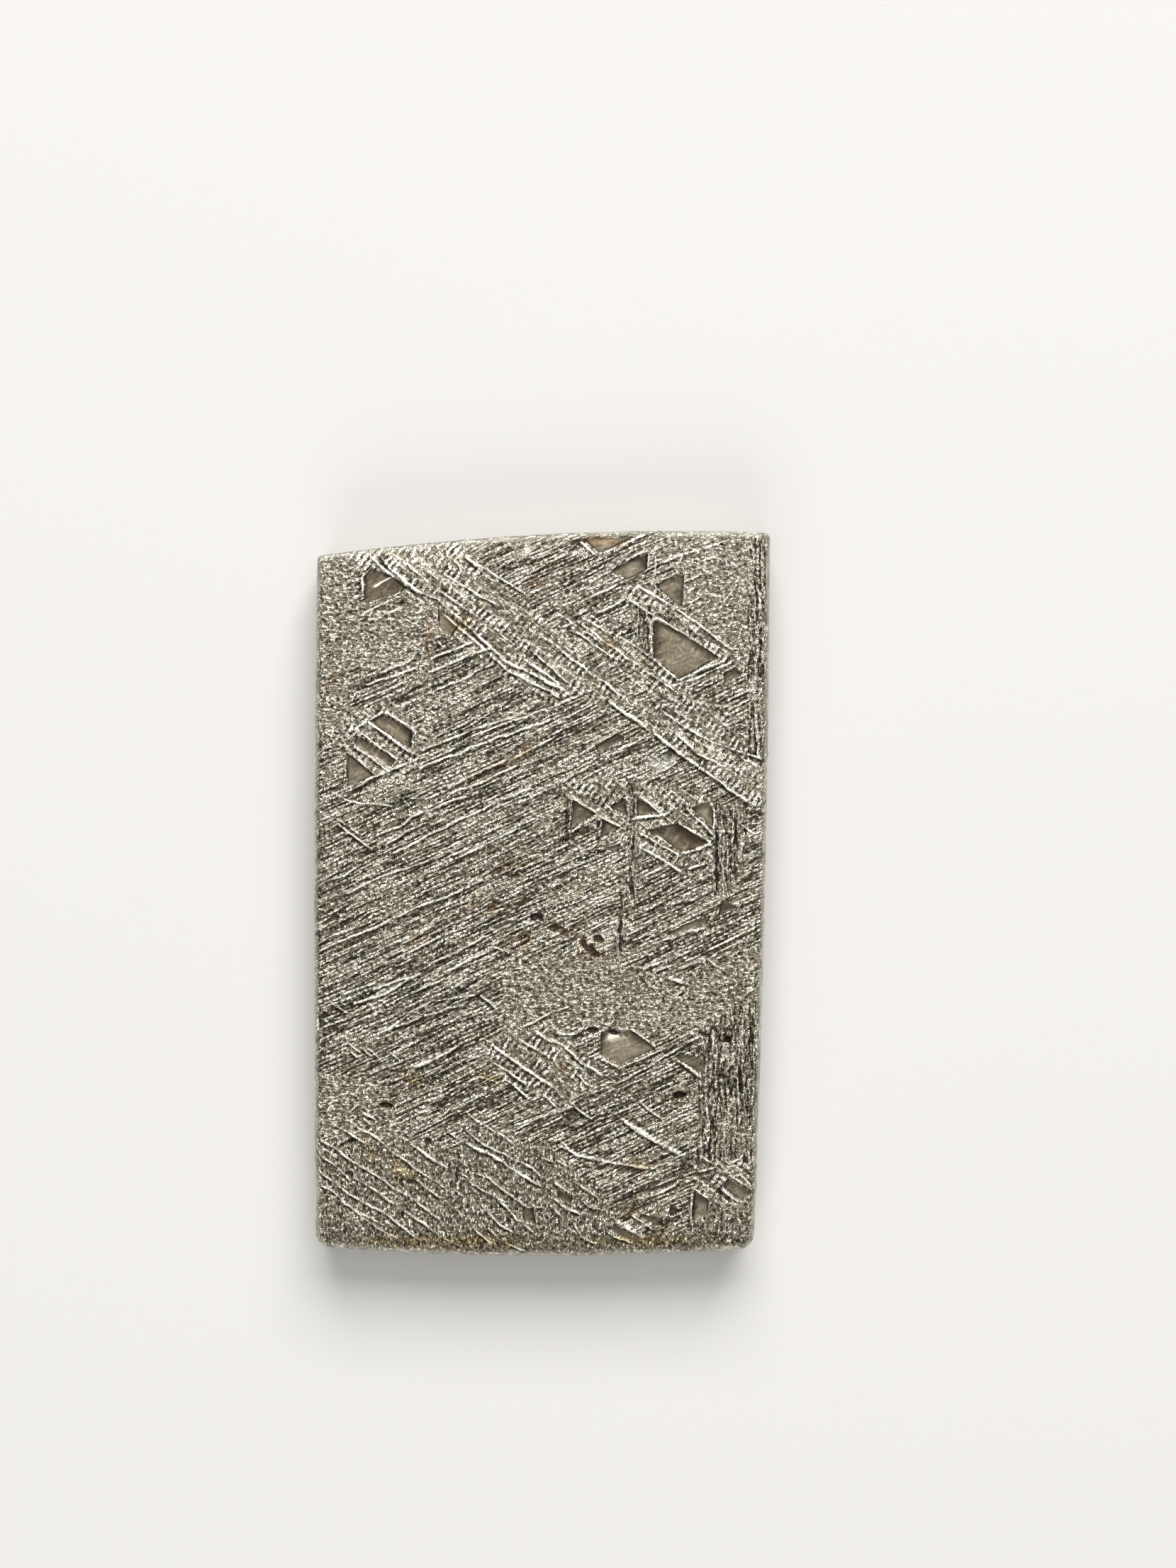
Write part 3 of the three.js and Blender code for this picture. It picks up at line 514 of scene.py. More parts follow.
def inside(corners):
    # How far each vertex lies within a patch of the face; less than nothing outside it.
    corners = np.array(corners).reshape(-1, 2)
    reach = PATCH_REACH
    near = np.flatnonzero(
        ((blank[:, :2] > corners.min(0) - reach) & (blank[:, :2] < corners.max(0) + reach)).all(1)
        & on_face
    )
    place = blank[near, :2]
    gap = np.full(len(near), reach)
    within = np.zeros(len(near), bool)
    for start, end in zip(corners, np.roll(corners, -1, axis=0)):
        span = end - start
        from_start = place - start
        reached = np.clip(from_start @ span / (span @ span), 0, 1)
        gap = np.minimum(gap, np.linalg.norm(from_start - reached[:, None] * span, axis=1))
        crosses = (start[1] > place[:, 1]) != (end[1] > place[:, 1])
        turn = span[0] * from_start[:, 1] - span[1] * from_start[:, 0]
        within ^= crosses & ((turn > 0) == (span[1] > 0))
    depth_in = np.full(len(blank), -reach)
    depth_in[near] = np.where(within, gap, -gap)
    return depth_in


ragged = 0.13 * mottle(blank, 0.5, 2.2) + 0.09 * mottle(blank, 0.14, 6.1)
filling = {name: np.zeros(len(blank)) for name in FILLINGS}
filling["beads"] += 1
level = np.zeros(len(blank))
for name, corners in PATCHES:
    share = np.clip((inside(corners) + ragged) / PATCH_EDGE + 0.5, 0, 1)
    for other in FILLINGS:
        filling[other] *= 1 - share
    filling[name] += share
    level += share * (random.uniform(-0.01, 0.01) - level)

# The sunken fields, each by how much it lies in shadow and by its corners, x and y in turn. The
# metal is smooth there, and it ends in a thin raised rim.
FIELDS = [
    # The head.
    [0.1, [1.4, 12.7, 3.4, 12.78, 2.05, 12.1]],
    [0.2, [2.4, 11.5, 3.05, 11.9, 3.75, 12.1, 3.75, 11.5, 3.05, 11.15]],
    [0.4, [3.95, 9.75, 4.95, 9.35, 6.3, 8.4, 4.85, 7.6, 3.95, 8.4]],
    [0.3, [4.0, 11.0, 5.05, 11.4, 5.0, 10.1]],
    [0.3, [6.45, 7.85, 6.85, 8.05, 7.15, 7.8, 6.5, 7.45]],
    [0.6, [-6.05, 11.6, -5.4, 11.35, -4.75, 10.88, -5.1, 10.7, -6.35, 10.3, -6.35, 11.3]],
    [0.0, [-3.7, 10.2, -2.9, 9.6, -3.25, 9.1, -3.7, 9.5]],
    # The left edge.
    [0.3, [-6.2, 6.15, -5.6, 6.4, -4.6, 5.8, -4.65, 5.1]],
    [0.4, [-6.6, 5.65, -5.15, 4.75, -5.4, 4.5, -6.7, 5.35]],
    [0.1, [-6.95, 5.05, -5.95, 4.2, -6.95, 3.75]],
    # Right of the middle.
    [0.3, [1.85, 5.3, 2.7, 5.72, 2.95, 5.5, 2.05, 4.95]], [0.2, [1.1, 3.35, 1.9, 2.85, 0.98, 2.25]],
    [0.4, [2.15, 2.65, 2.8, 2.35, 2.05, 1.95]], [0.4, [2.05, 1.65, 2.8, 1.85, 2.75, 1.4]],
    [0.3, [3.38, 3.4, 4.15, 2.9, 3.35, 2.72]], [0.4, [2.4, 3.1, 3.0, 3.45, 3.05, 2.75]],
    [0.0, [5.25, 3.08, 5.85, 3.25, 6.1, 3.05, 6.1, 2.3]],
    [0.9, [3.65, 2.25, 4.8, 2.52, 5.95, 1.8, 4.95, 1.43, 4.3, 1.95]],
    [0.3, [6.4, -0.2, 7.0, -0.5, 6.25, -0.8]],
    [0.3, [4.3, -1.55, 5.0, -1.1, 6.0, -0.75, 5.9, -1.08, 5.0, -1.38]],
    # The left edge and the middle.
    [0.5, [-8.0, -1.25, -7.35, -0.65, -7.15, -0.85]],
    [0.5, [-1.75, -1.2, -1.1, -0.92, -0.95, -1.15, -1.5, -1.4]],
    [0.5, [-5.9, -3.45, -5.0, -3.2, -4.5, -2.9, -5.4, -3.35]],
    [0.6, [-8.1, -4.35, -7.6, -4.6, -8.0, -4.88]],
    # The foot.
    [0.1, [2.1, -4.9, 3.15, -4.85, 4.1, -5.5, 2.8, -6.1, 2.05, -5.75]],
    [0.3, [4.85, -5.62, 5.85, -5.95, 5.72, -6.45, 4.8, -5.85]],
    [0.6, [-5.4, -6.25, -4.75, -6.25, -4.8, -6.42, -5.4, -6.4]],
    [0.4, [-2.0, -10.3, -1.4, -10.55, -1.2, -10.9, -1.9, -10.5]],
    [0.4, [-0.7, -11.05, -0.3, -11.1, -0.2, -11.8, -0.7, -11.6]],
    [0.4, [0.5, -10.5, 1.1, -10.8, 1.0, -11.05, 0.55, -10.85]],
    [0.5, [3.4, -10.75, 4.8, -10.3, 4.7, -10.15, 3.4, -10.6]],
    [0.0, [2.25, -11.9, 2.6, -11.78, 3.55, -12.35, 3.2, -12.45]],
    [0.5, [3.4, -11.4, 4.3, -11.5, 4.3, -11.85, 4.0, -11.85]],
    [0.0, [5.4, -10.55, 5.95, -10.9, 5.9, -11.45, 5.35, -11.65]],
    [0.0, [6.6, -10.1, 7.55, -10.7, 7.05, -10.9, 6.45, -10.45]],
    [0.3, [5.4, -9.35, 5.95, -9.6, 5.5, -9.75]],
]
FIELD_SINK = 0.035
FIELD_EDGE = 0.05
RIM_WIDTH = 0.036
RIM_HEIGHT = 0.03

inside_field = np.full(len(blank), -PATCH_REACH)
field_shade = np.zeros(len(blank))
for shadow, corners in FIELDS:
    within = inside(corners)
    inside_field = np.maximum(inside_field, within)
    field_shade[within > -0.1] = shadow
inside_field += 0.02 * mottle(blank, 0.2, 3.3)
field = np.clip(inside_field / FIELD_EDGE, 0, 1)
field = field * field * (3 - 2 * field)
rim = np.exp(-(((inside_field + RIM_WIDTH) / RIM_WIDTH) ** 2))
rim *= np.clip(0.6 + 0.5 * mottle(blank, 0.3, 7.7), 0, 1)

# The pits, where softer grains have been eaten out. Each is its middle, its length and width, its
# turn from +X and its depth.
PITS = [
    {"spot": (0.5, -1.25, 0.6, 0.4, -35), "depth": 0.12},
    {"spot": (1.7, -1.95, 1.0, 0.35, -35), "depth": 0.1},
    {"spot": (2.0, -1.6, 0.4, 0.25, -20), "depth": 0.12},
    {"spot": (-2.3, -0.3, 0.5, 0.25, 20), "depth": 0.1},
    {"spot": (-1.6, 0.85, 1.2, 0.22, 25), "depth": 0.08},
    {"spot": (-0.15, -0.85, 0.5, 0.35, 0), "depth": 0.14},
    {"spot": (4.95, -7.15, 0.55, 0.22, -5), "depth": 0.22},
    {"spot": (5.1, -7.4, 0.4, 0.2, 10), "depth": 0.14},
    {"spot": (-5.55, -7.52, 0.6, 0.26, -25), "depth": 0.16},
    {"spot": (1.85, -4.85, 0.35, 0.22, 0), "depth": 0.16},
    {"spot": (2.65, -4.95, 0.75, 0.25, -15), "depth": 0.18},
    {"spot": (-4.1, -8.85, 0.4, 0.3, 60), "depth": 0.14},
    {"spot": (-6.9, -8.82, 0.65, 0.2, 28), "depth": 0.14},
    {"spot": (-6.85, -9.95, 0.3, 0.2, 0), "depth": 0.12},
    {"spot": (0.88, -9.13, 0.35, 0.16, -35), "depth": 0.16},
    {"spot": (6.6, -5.2, 0.25, 0.3, 0), "depth": 0.18},
    {"spot": (-6.6, 3.7, 0.5, 0.35, 20), "depth": 0.12},
    {"spot": (-3.0, 1.15, 0.5, 0.2, 25), "depth": 0.14},
    {"spot": (5.8, -5.0, 0.5, 0.2, -20), "depth": 0.12},
    {"spot": (4.7, -11.25, 0.3, 0.6, 0), "depth": 0.1},
    {"spot": (2.9, -9.82, 2.3, 0.3, -7), "depth": 0.07},
    {"spot": (-4.65, -10.25, 0.7, 0.25, -20), "depth": 0.08},
]
on_top = on_face.astype(float)


def spot(x, y, length, width, turn):
    # A ragged spot on the face, from 1 in its middle to 0 at its edge.
    turn = math.radians(turn)
    east = blank[:, 0] - x
    north = blank[:, 1] - y
    run = (east * math.cos(turn) + north * math.sin(turn)) / (length / 2)
    side = (north * math.cos(turn) - east * math.sin(turn)) / (width / 2)
    ragged_edge = 0.6 * mottle(blank, 0.2, 1.9) + 0.5 * mottle(blank, 0.11, 4.4)
    return on_top * np.clip(0.9 - run * run - side * side + ragged_edge, 0, 1)


pit = np.zeros(len(blank))
for hole in PITS:
    pit = np.maximum(pit, hole["depth"] * spot(*hole["spot"]))

# Where the metal is stained, brown with rust or straw yellow from the etching, and where painted
# glints lie. Each spot is its middle, its length and width, and its turn from +X.
RUST_SPOTS = [
    (2.2, 12.55, 2.0, 0.6, 0), (-0.2, 11.0, 0.9, 0.35, 20), (-4.0, 9.2, 0.4, 2.4, 0),
    (2.4, 8.85, 0.8, 0.8, 0), (-7.5, 7.55, 0.45, 0.4, 0), (-0.6, 5.2, 0.8, 0.25, 20),
    (-1.5, 4.6, 3.6, 0.25, 25), (-1.45, 0.9, 1.4, 0.5, 25), (0.5, -1.25, 0.9, 0.6, -30),
    (1.65, -1.95, 1.3, 0.7, -35), (-0.6, -1.6, 0.9, 0.8, 0), (-2.3, -0.3, 0.9, 0.5, 20),
    (-1.75, -0.6, 0.7, 0.4, 20), (-4.5, -1.6, 0.9, 0.25, 25), (0.65, -6.15, 0.5, 0.4, 0),
    (3.4, -9.7, 1.8, 0.7, -5), (5.0, -7.2, 1.0, 0.5, 0), (-5.5, -7.5, 0.9, 0.4, -25),
]
STRAW_SPOTS = [
    (-2.1, -6.5, 1.4, 0.35, -15), (-4.6, -6.6, 0.7, 0.5, 0), (-6.2, -9.1, 1.0, 0.7, -30),
    (-5.0, -9.9, 1.4, 0.8, -30), (3.05, -11.2, 0.7, 0.35, 0), (4.3, -12.0, 0.7, 0.5, 0),
    (-3.0, -12.4, 9.0, 0.7, 0), (4.0, -12.4, 6.0, 0.6, 0), (-2.9, 9.6, 1.2, 0.9, 0),
]
GLINT_SPOTS = [
    (-3.95, 2.9, 0.7, 0.3, 20), (4.15, 4.65, 1.2, 0.8, 0), (6.65, -5.6, 0.5, 0.4, 0),
    (-5.0, -9.8, 0.6, 0.3, -30), (-0.9, -9.9, 0.4, 0.3, 0), (4.4, -8.95, 1.1, 0.25, -30),
]


def spotted(spots):
    return np.max([spot(*each) for each in spots], axis=0)


# The relief of each filling: noise drawn out along its own plates, with rails beside the bars.
ROW_PITCH = 0.21
BAR_BAND = 0.42


def drawn_out(plane, length, thickness, reach, shift):
    return mottle((blank @ plane_axes(plane).T) / (length, thickness, reach), 1.0, shift)


def ridged(plane, pitch, shift):
    aside = blank @ plane_axes(plane)[1] / pitch + 0.35 * mottle(blank, 0.9, shift)
    return 1 - np.abs(np.mod(aside, 1) * 2 - 1)


beads = 0.5 * ridged(RISING, ROW_PITCH, 1.3) ** 1.5 * (0.6 + 0.5 * drawn_out(RISING, 0.28, 0.2, 0.6, 2.0))
beads += 0.5 * np.maximum(drawn_out(RISING, 0.8, 0.13, 0.8, 8.0), 0)
bars = 0.9 * ridged(FALLING, BAR_BAND, 4.1) ** 4 * (0.7 + 0.5 * drawn_out(FALLING, 0.9, 0.3, 1.0, 5.0))
bars += 0.5 * np.maximum(drawn_out(FALLING, 0.13, 0.5, 0.6, 12.0), 0)
strokes = np.maximum(drawn_out(UPRIGHT, 0.7, 0.13, 0.7, 6.0), 0)
strokes += 0.4 * drawn_out(FALLING, 0.3, 0.15, 0.5, 3.0)
threads = np.maximum(drawn_out(RISING, 1.6, 0.12, 1.0, 9.0), 0)
grains = 0.6 * mottle(blank, 0.16, 5.1) + 0.4 * mottle(blank, 0.1, 11.0)
fine_relief = (
    0.02 * (filling["beads"] * beads + filling["strokes"] * strokes + filling["threads"] * threads)
    + 0.025 * filling["bars"] * bars
    + (0.012 * filling["grains"] + 0.015 * filling["flecks"]) * grains
)

# How far the surface lies below the crests.
LAND_DEPTH = 0.075
SIDE_LAND_DEPTH = 0.055
SIDE_GRAIN = 0.03
SIDE_SPARE = 0.035
BACK_LAND_DEPTH = 0.012
lying = np.clip((blank[:, 2] - (THICKNESS - ROLL_DEPTH - 0.3)) / 0.5, 0, 1)
facing_down = np.clip(-blank_normal[:, 2], 0, 1)
land = SIDE_LAND_DEPTH + (LAND_DEPTH - SIDE_LAND_DEPTH) * lying
land += (BACK_LAND_DEPTH - SIDE_LAND_DEPTH) * facing_down
unevenness = 0.02 * mottle(blank, 1.3, 0.4) + 0.012 * mottle(blank, 0.5, 5.5)
calm = 1 - 0.85 * field
raised = np.maximum(rib * (1 - 0.7 * field), RIM_HEIGHT * rim * lying)
hollowed = 0.03 * trough * calm * (1 - crest) + SEAM_DEPTH * seam + pit
relief = -land + (fine_relief + level + unevenness) * calm * (0.4 + 0.6 * lying)
relief += raised - FIELD_SINK * field - hollowed
relief += SIDE_GRAIN * np.minimum(mottle(blank, 0.13, 6.2), 0) * (1 - lying)
relief = np.minimum(relief, -SIDE_SPARE * (1 - lying) * (1 - facing_down))
carved = blank + relief[:, None] * blank_normal

# Painted highlight on the crests and painted shade in the crevices, from how far each point
# stands over those around it.
SMOOTHINGS = 8
FULLY_STANDING = 0.025
STAINED_PIT_DEPTH = 0.08
around = relief.copy()
neighbour_count = np.bincount(quads.ravel(), minlength=len(blank)) * 2
for _ in range(SMOOTHINGS):
    total = sum(
        np.bincount(quads[:, k], around[quads[:, (k + 1) % 4]] + around[quads[:, k - 1]], len(blank))
        for k in range(4)
    )
    around = 0.3 * around + 0.7 * total / neighbour_count
standing = np.clip((relief - around) / FULLY_STANDING, -1, 1)
# The crests of the ribs and the rims of the fields, where painted highlight goes.
highlit_crest = np.clip(np.maximum(crest, 0.3 * rim * lying), 0, 1)
# Lighter where the face rolls over at its edges, and painted glints at the listed spots.
rolled_edge_and_glint = lying * np.clip((0.93 - blank_normal[:, 2]) / 0.15, 0, 1)
rolled_edge_and_glint = np.maximum(rolled_edge_and_glint, 0.8 * spotted(GLINT_SPOTS)) * np.clip(0.7 + 0.7 * mottle(blank, 0.12, 8.8), 0, 1)
# Painted shadow in the trough along the foot side of each rib, and the dark seams.
dark_line = np.clip(np.maximum(trough * (1 - crest), seam), 0, 1)

# Each four-sided mesh face is cut in two along the diagonal that lies on a crest.
a, b, c, d = quads.T
crest_side = crest[a] * crest[c] - crest[b] * crest[d]
even_side = np.abs(relief[b] - relief[d]) - np.abs(relief[a] - relief[c])
along_ac = np.where(np.abs(crest_side) > 0.02, crest_side, even_side) > 0
triangles = np.concatenate([
    np.column_stack([a, b, np.where(along_ac, c, d)]), np.column_stack([np.where(along_ac, a, b), c, d])
])

# The mesh, thinned out where the metal is smooth.
TRIANGLES = 196000
mesh = bpy.data.meshes.new("meteorite_slice")
mesh.vertices.add(len(carved))
mesh.vertices.foreach_set("co", (carved * MM).astype(np.float32).ravel())
mesh.loops.add(triangles.size)
mesh.loops.foreach_set("vertex_index", triangles.ravel().astype(np.int32))
mesh.polygons.add(len(triangles))
mesh.polygons.foreach_set("loop_start", np.arange(0, triangles.size, 3, dtype=np.int32))
mesh.update(calc_edges=True)
for name, values in {
    "standing": standing,
    "crest": highlit_crest,
    "dark_line": dark_line,
    "rolled_edge_and_glint": rolled_edge_and_glint,
    "field": field,
    "field_shade": field_shade,
    "pit": np.clip(pit / STAINED_PIT_DEPTH, 0, 1),
    "rust": spotted(RUST_SPOTS),
    "straw": spotted(STRAW_SPOTS),
    **filling,
}.items():
    mesh.attributes.new(name, "FLOAT", "POINT").data.foreach_set("value", values.astype(np.float32))
mesh.attributes.new("blank_normal", "FLOAT_VECTOR", "POINT").data.foreach_set(
    "vector", blank_normal.astype(np.float32).ravel()
)
whole = bpy.data.objects.new("whole_slice", mesh)
bpy.context.scene.collection.objects.link(whole)
thin = whole.modifiers.new("thin", "DECIMATE")
thin.ratio = TRIANGLES / len(triangles)
slice_mesh = bpy.data.meshes.new_from_object(
    whole.evaluated_get(bpy.context.evaluated_depsgraph_get())
)
slice_mesh.name = "etched_slice"
bpy.data.objects.remove(whole)
bpy.data.meshes.remove(mesh)
etched_slice = bpy.data.objects.new("etched_slice", slice_mesh)
bpy.context.scene.collection.objects.link(etched_slice)
slice_mesh.polygons.foreach_set("use_smooth", np.ones(len(slice_mesh.polygons), dtype=bool))

# The slice lies with the middle of its box over the origin, and its back on the floor.
co = np.empty(len(slice_mesh.vertices) * 3, np.float32)
slice_mesh.vertices.foreach_get("co", co)
co = co.reshape(-1, 3)
co[:, :2] -= (co[:, :2].min(0) + co[:, :2].max(0)) / 2
co[:, 2] = np.clip(co[:, 2], 0, THICKNESS * MM)
slice_mesh.vertices.foreach_set("co", co.ravel())
slice_mesh.update()

# A flat layout of the slice on one square sheet: six straight views of it, side by side. Each has
# the way that it looks from, the directions that run across and up the sheet, its scale and its
# place on the sheet.
SHEET = 29.5
VIEWS = [
    {"from": (0, 0, 1), "across": (1, 0, 0), "up": (0, 1, 0), "scale": 1, "place": (0.2, 0.2)},
    {"from": (1, 0, 0), "across": (0, 1, 0), "up": (0, 0, 1), "scale": 1, "place": (0.2, 26.4)},
    {"from": (0, 0, -1), "across": (-1, 0, 0), "up": (0, 1, 0), "scale": 0.6, "place": (16.9, 0.2)},
    {"from": (-1, 0, 0), "across": (0, 0, 1), "up": (0, 1, 0), "scale": 0.8, "place": (26.9, 0.2)},
    {"from": (0, 1, 0), "across": (0, 0, 1), "up": (1, 0, 0), "scale": 0.6, "place": (16.9, 16.1)},
    {"from": (0, -1, 0), "across": (0, 0, -1), "up": (1, 0, 0), "scale": 0.6, "place": (19.1, 16.1)},
]
facing = np.empty(len(slice_mesh.vertices) * 3, np.float32)
slice_mesh.attributes["blank_normal"].data.foreach_get("vector", facing)
facing = facing.reshape(-1, 3)
corner_vertex = np.empty(len(slice_mesh.loops), np.int32)
slice_mesh.loops.foreach_get("vertex_index", corner_vertex)
first_corner = np.empty(len(slice_mesh.polygons), np.int32)
slice_mesh.polygons.foreach_get("loop_start", first_corner)
polygon_facing = np.add.reduceat(facing[corner_vertex], first_corner, axis=0)
view_of_polygon = np.argmax(polygon_facing @ np.array([v["from"] for v in VIEWS]).T, axis=1)
corners_each = np.diff(np.append(first_corner, len(corner_vertex)))
view_of_corner = np.repeat(view_of_polygon, corners_each)
uv = np.zeros((len(corner_vertex), 2), np.float32)
for k, view in enumerate(VIEWS):
    here = view_of_corner == k
    flat = (co[corner_vertex[here]] / MM) @ np.array([view["across"], view["up"]]).T
    uv[here] = ((flat - flat.min(0)) * view["scale"] + view["place"]) / SHEET
slice_mesh.uv_layers.new(name="OFBake").data.foreach_set("uv", uv.ravel())


# Etched nickel-iron: a warm grey metal, smooth on the crests and dull in the crevices, with painted
# highlights on crests and lit flanks, painted shade, brown in places, in the crevices and on shaded
# flanks, and the finest grain of the crystal between the ribs. The sides and the back are calmer.
def shade(red, green, blue):
    # A colour as seen on a screen, 0 to 255, in the linear values that a shader takes.
    return [*(((v / 255 + 0.055) / 1.055) ** 2.4 for v in (red, green, blue)), 1]


def add_node(tree, kind, inputs, **settings):
    node = tree.nodes.new("ShaderNode" + kind)
    for name, value in settings.items():
        setattr(node, name, value)
    for name, value in inputs.items():
        if isinstance(value, bpy.types.NodeSocket):
            tree.links.new(value, node.inputs[name])
        else:
            node.inputs[name].default_value = value
    return node


def combined(tree, operation, first, second=0.0):
    return add_node(tree, "Math", {0: first, 1: second}, operation=operation).outputs[0]


def ramped(tree, value, low, high, to_low, to_high):
    return add_node(tree, "MapRange", {
        "Value": value, "From Min": low, "From Max": high, "To Min": to_low, "To Max": to_high,
    }).outputs[0]


def mixed(tree, share, first, second):
    return add_node(tree, "Mix", {0: share, 6: first, 7: second}, data_type="RGBA").outputs[2]


def effect(name, numbers):
    # The start of a node group, with the object's own coordinates in millimetres, turned so that
    # X runs along a set of plates, Y across them and Z down into them.
    group = bpy.data.node_groups.new(name, "ShaderNodeTree")
    for number in ("Bearing", "Lean", *numbers):
        group.interface.new_socket(number, in_out="INPUT", socket_type="NodeSocketFloat")
    group.interface.new_socket("Height", in_out="OUTPUT", socket_type="NodeSocketFloat")
    asked = group.nodes.new("NodeGroupInput").outputs
    metres = add_node(group, "TexCoord", {}).outputs["Object"]
    millimetres = add_node(
        group, "VectorMath", {0: metres, "Scale": 1 / MM}, operation="SCALE"
    ).outputs[0]
    turned = add_node(group, "VectorRotate", {
        "Vector": millimetres, "Angle": combined(group, "MULTIPLY", asked["Bearing"], -math.pi / 180),
    }, rotation_type="Z_AXIS").outputs[0]
    upright = add_node(group, "VectorRotate", {
        "Vector": turned, "Angle": combined(group, "MULTIPLY", asked["Lean"], -math.pi / 180),
    }, rotation_type="X_AXIS").outputs[0]
    return group, asked, upright


def put_out(group, results):
    output = group.nodes.new("NodeGroupOutput")
    for name, value in results.items():
        group.links.new(value, output.inputs[name])


# Plates too fine for the mesh: steps where one plate lies over the next, from noise drawn out
# along one crystal plane. The second output is a painted highlight along the edge of the upper
# plate, and the third a painted shadow along the step under it.
lapped_plates, asked, upright = effect("Lapped plates", ("Length", "Thickness"))
lapped_plates.interface.new_socket("Step highlight", in_out="OUTPUT", socket_type="NodeSocketFloat")
lapped_plates.interface.new_socket("Step shadow", in_out="OUTPUT", socket_type="NodeSocketFloat")
stretch = add_node(lapped_plates, "CombineXYZ", {
    0: asked["Length"], 1: asked["Thickness"], 2: asked["Length"],
}).outputs[0]
drawn = add_node(lapped_plates, "VectorMath", {0: upright, 1: stretch}, operation="DIVIDE").outputs[0]
streaky = add_node(
    lapped_plates, "TexNoise", {"Vector": drawn, "Scale": 1, "Detail": 2, "Roughness": 0.6}
).outputs["Fac"]
LINE_FROM_STEP = 0.045
LINE_CORE = 0.015
LINE_FADED = 0.06
from_step = combined(lapped_plates, "SUBTRACT", streaky, 0.5)
from_highlight_line = combined(lapped_plates, "SUBTRACT", from_step, LINE_FROM_STEP)
from_shadow_line = combined(lapped_plates, "ADD", from_step, LINE_FROM_STEP)
above = combined(lapped_plates, "ABSOLUTE", from_highlight_line)
below = combined(lapped_plates, "ABSOLUTE", from_shadow_line)
put_out(lapped_plates, {
    "Height": ramped(lapped_plates, from_step, -0.05, 0.05, 0, 1),
    "Step highlight": ramped(lapped_plates, above, LINE_CORE, LINE_FADED, 1, 0),
    "Step shadow": ramped(lapped_plates, below, LINE_CORE, LINE_FADED, 1, 0),
})

# Rows of grains: grains end to end in wavering rows along one crystal plane. Glint is a painted
# highlight on the lit flank of a grain, and the last output a painted shadow on its other flank, a
# dark line that parts two rows. Both lie across the rows, or where Lengthways is 1 along them, as
# on rungs.
rows_of_grains, asked, upright = effect("Rows of grains", ("Length", "Pitch", "Shiver", "Lengthways"))
rows_of_grains.interface.new_socket("Glint", in_out="OUTPUT", socket_type="NodeSocketFloat")
rows_of_grains.interface.new_socket("Grain shadow", in_out="OUTPUT", socket_type="NodeSocketFloat")
waver = add_node(
    rows_of_grains, "TexNoise", {"Vector": upright, "Scale": 0.45, "Detail": 1}
).outputs["Color"]
wavered = add_node(rows_of_grains, "VectorMath", {
    0: waver, 1: (0.35, 0.35, 0.35), 2: upright,
}, operation="MULTIPLY_ADD").outputs[0]
shiver = add_node(
    rows_of_grains, "TexNoise", {"Vector": upright, "Scale": 6, "Detail": 2}
).outputs["Color"]
reach = add_node(
    rows_of_grains, "VectorMath", {0: (0.34, 0.12, 0.3), "Scale": asked["Shiver"]}, operation="SCALE"
).outputs[0]
shivered = add_node(rows_of_grains, "VectorMath", {
    0: shiver, 1: reach, 2: wavered,
}, operation="MULTIPLY_ADD").outputs[0]
ways = add_node(rows_of_grains, "SeparateXYZ", {"Vector": shivered}).outputs
across_rows = combined(rows_of_grains, "DIVIDE", ways[1], asked["Pitch"])
row = combined(rows_of_grains, "FLOOR", across_rows)
offset = add_node(rows_of_grains, "TexWhiteNoise", {"W": row}, noise_dimensions="1D").outputs["Value"]
along_row = combined(
    rows_of_grains, "ADD", combined(rows_of_grains, "DIVIDE", ways[0], asked["Length"]),
    combined(rows_of_grains, "MULTIPLY", offset, 7),
)


def from_middle(value):
    # From -0.5 at one end of each grain to 0.5 at the other.
    return combined(rows_of_grains, "SUBTRACT", combined(rows_of_grains, "FRACT", value), 0.5)


def flanked(value):
    # 1 in the middle of each grain and 0 at its ends.
    return ramped(rows_of_grains, combined(rows_of_grains, "ABSOLUTE", value), 0.22, 0.48, 1, 0)


def drawn_tone(grains_long):
    # One value for each run of this many grains in a row.
    run = combined(rows_of_grains, "FLOOR", combined(rows_of_grains, "DIVIDE", along_row, grains_long))
    place_in_row = add_node(rows_of_grains, "CombineXYZ", {0: run, 1: row}).outputs[0]
    return add_node(
        rows_of_grains, "TexWhiteNoise", {"Vector": place_in_row}, noise_dimensions="2D"
    ).outputs["Value"]


def either(across_value, along_value):
    return add_node(
        rows_of_grains, "Mix", {0: asked["Lengthways"], 2: across_value, 3: along_value}
    ).outputs[0]


def product(*values):
    result = values[0]
    for value in values[1:]:
        result = combined(rows_of_grains, "MULTIPLY", result, value)
    return result


across = from_middle(across_rows)
along = from_middle(along_row)
grain_tone = drawn_tone(1)
run_tone = drawn_tone(3)
over_grain = either(across, along)
tone = add_node(rows_of_grains, "Mix", {0: 0.4, 2: grain_tone, 3: run_tone}).outputs[0]
put_out(rows_of_grains, {
    "Height": product(
        flanked(across), flanked(along), ramped(rows_of_grains, grain_tone, 0, 1, 0.5, 1)
    ),
    # Painted highlight on the lit flank of each grain.
    "Glint": product(
        ramped(rows_of_grains, over_grain, -0.1, 0.1, 0, 1),
        ramped(rows_of_grains, over_grain, 0.3, 0.46, 1, 0),
        either(flanked(along), flanked(across)),
        ramped(rows_of_grains, tone, 0.4, 0.8, 0, 1),
    ),
    # Painted shadow along the other flank, a dark line between two rows.
    "Grain shadow": product(
        ramped(rows_of_grains, over_grain, -0.2, -0.36, 0, 1),
        ramped(rows_of_grains, run_tone, 0.15, 0.6, 0, 1),
        either(1, flanked(across)),
    ),
})

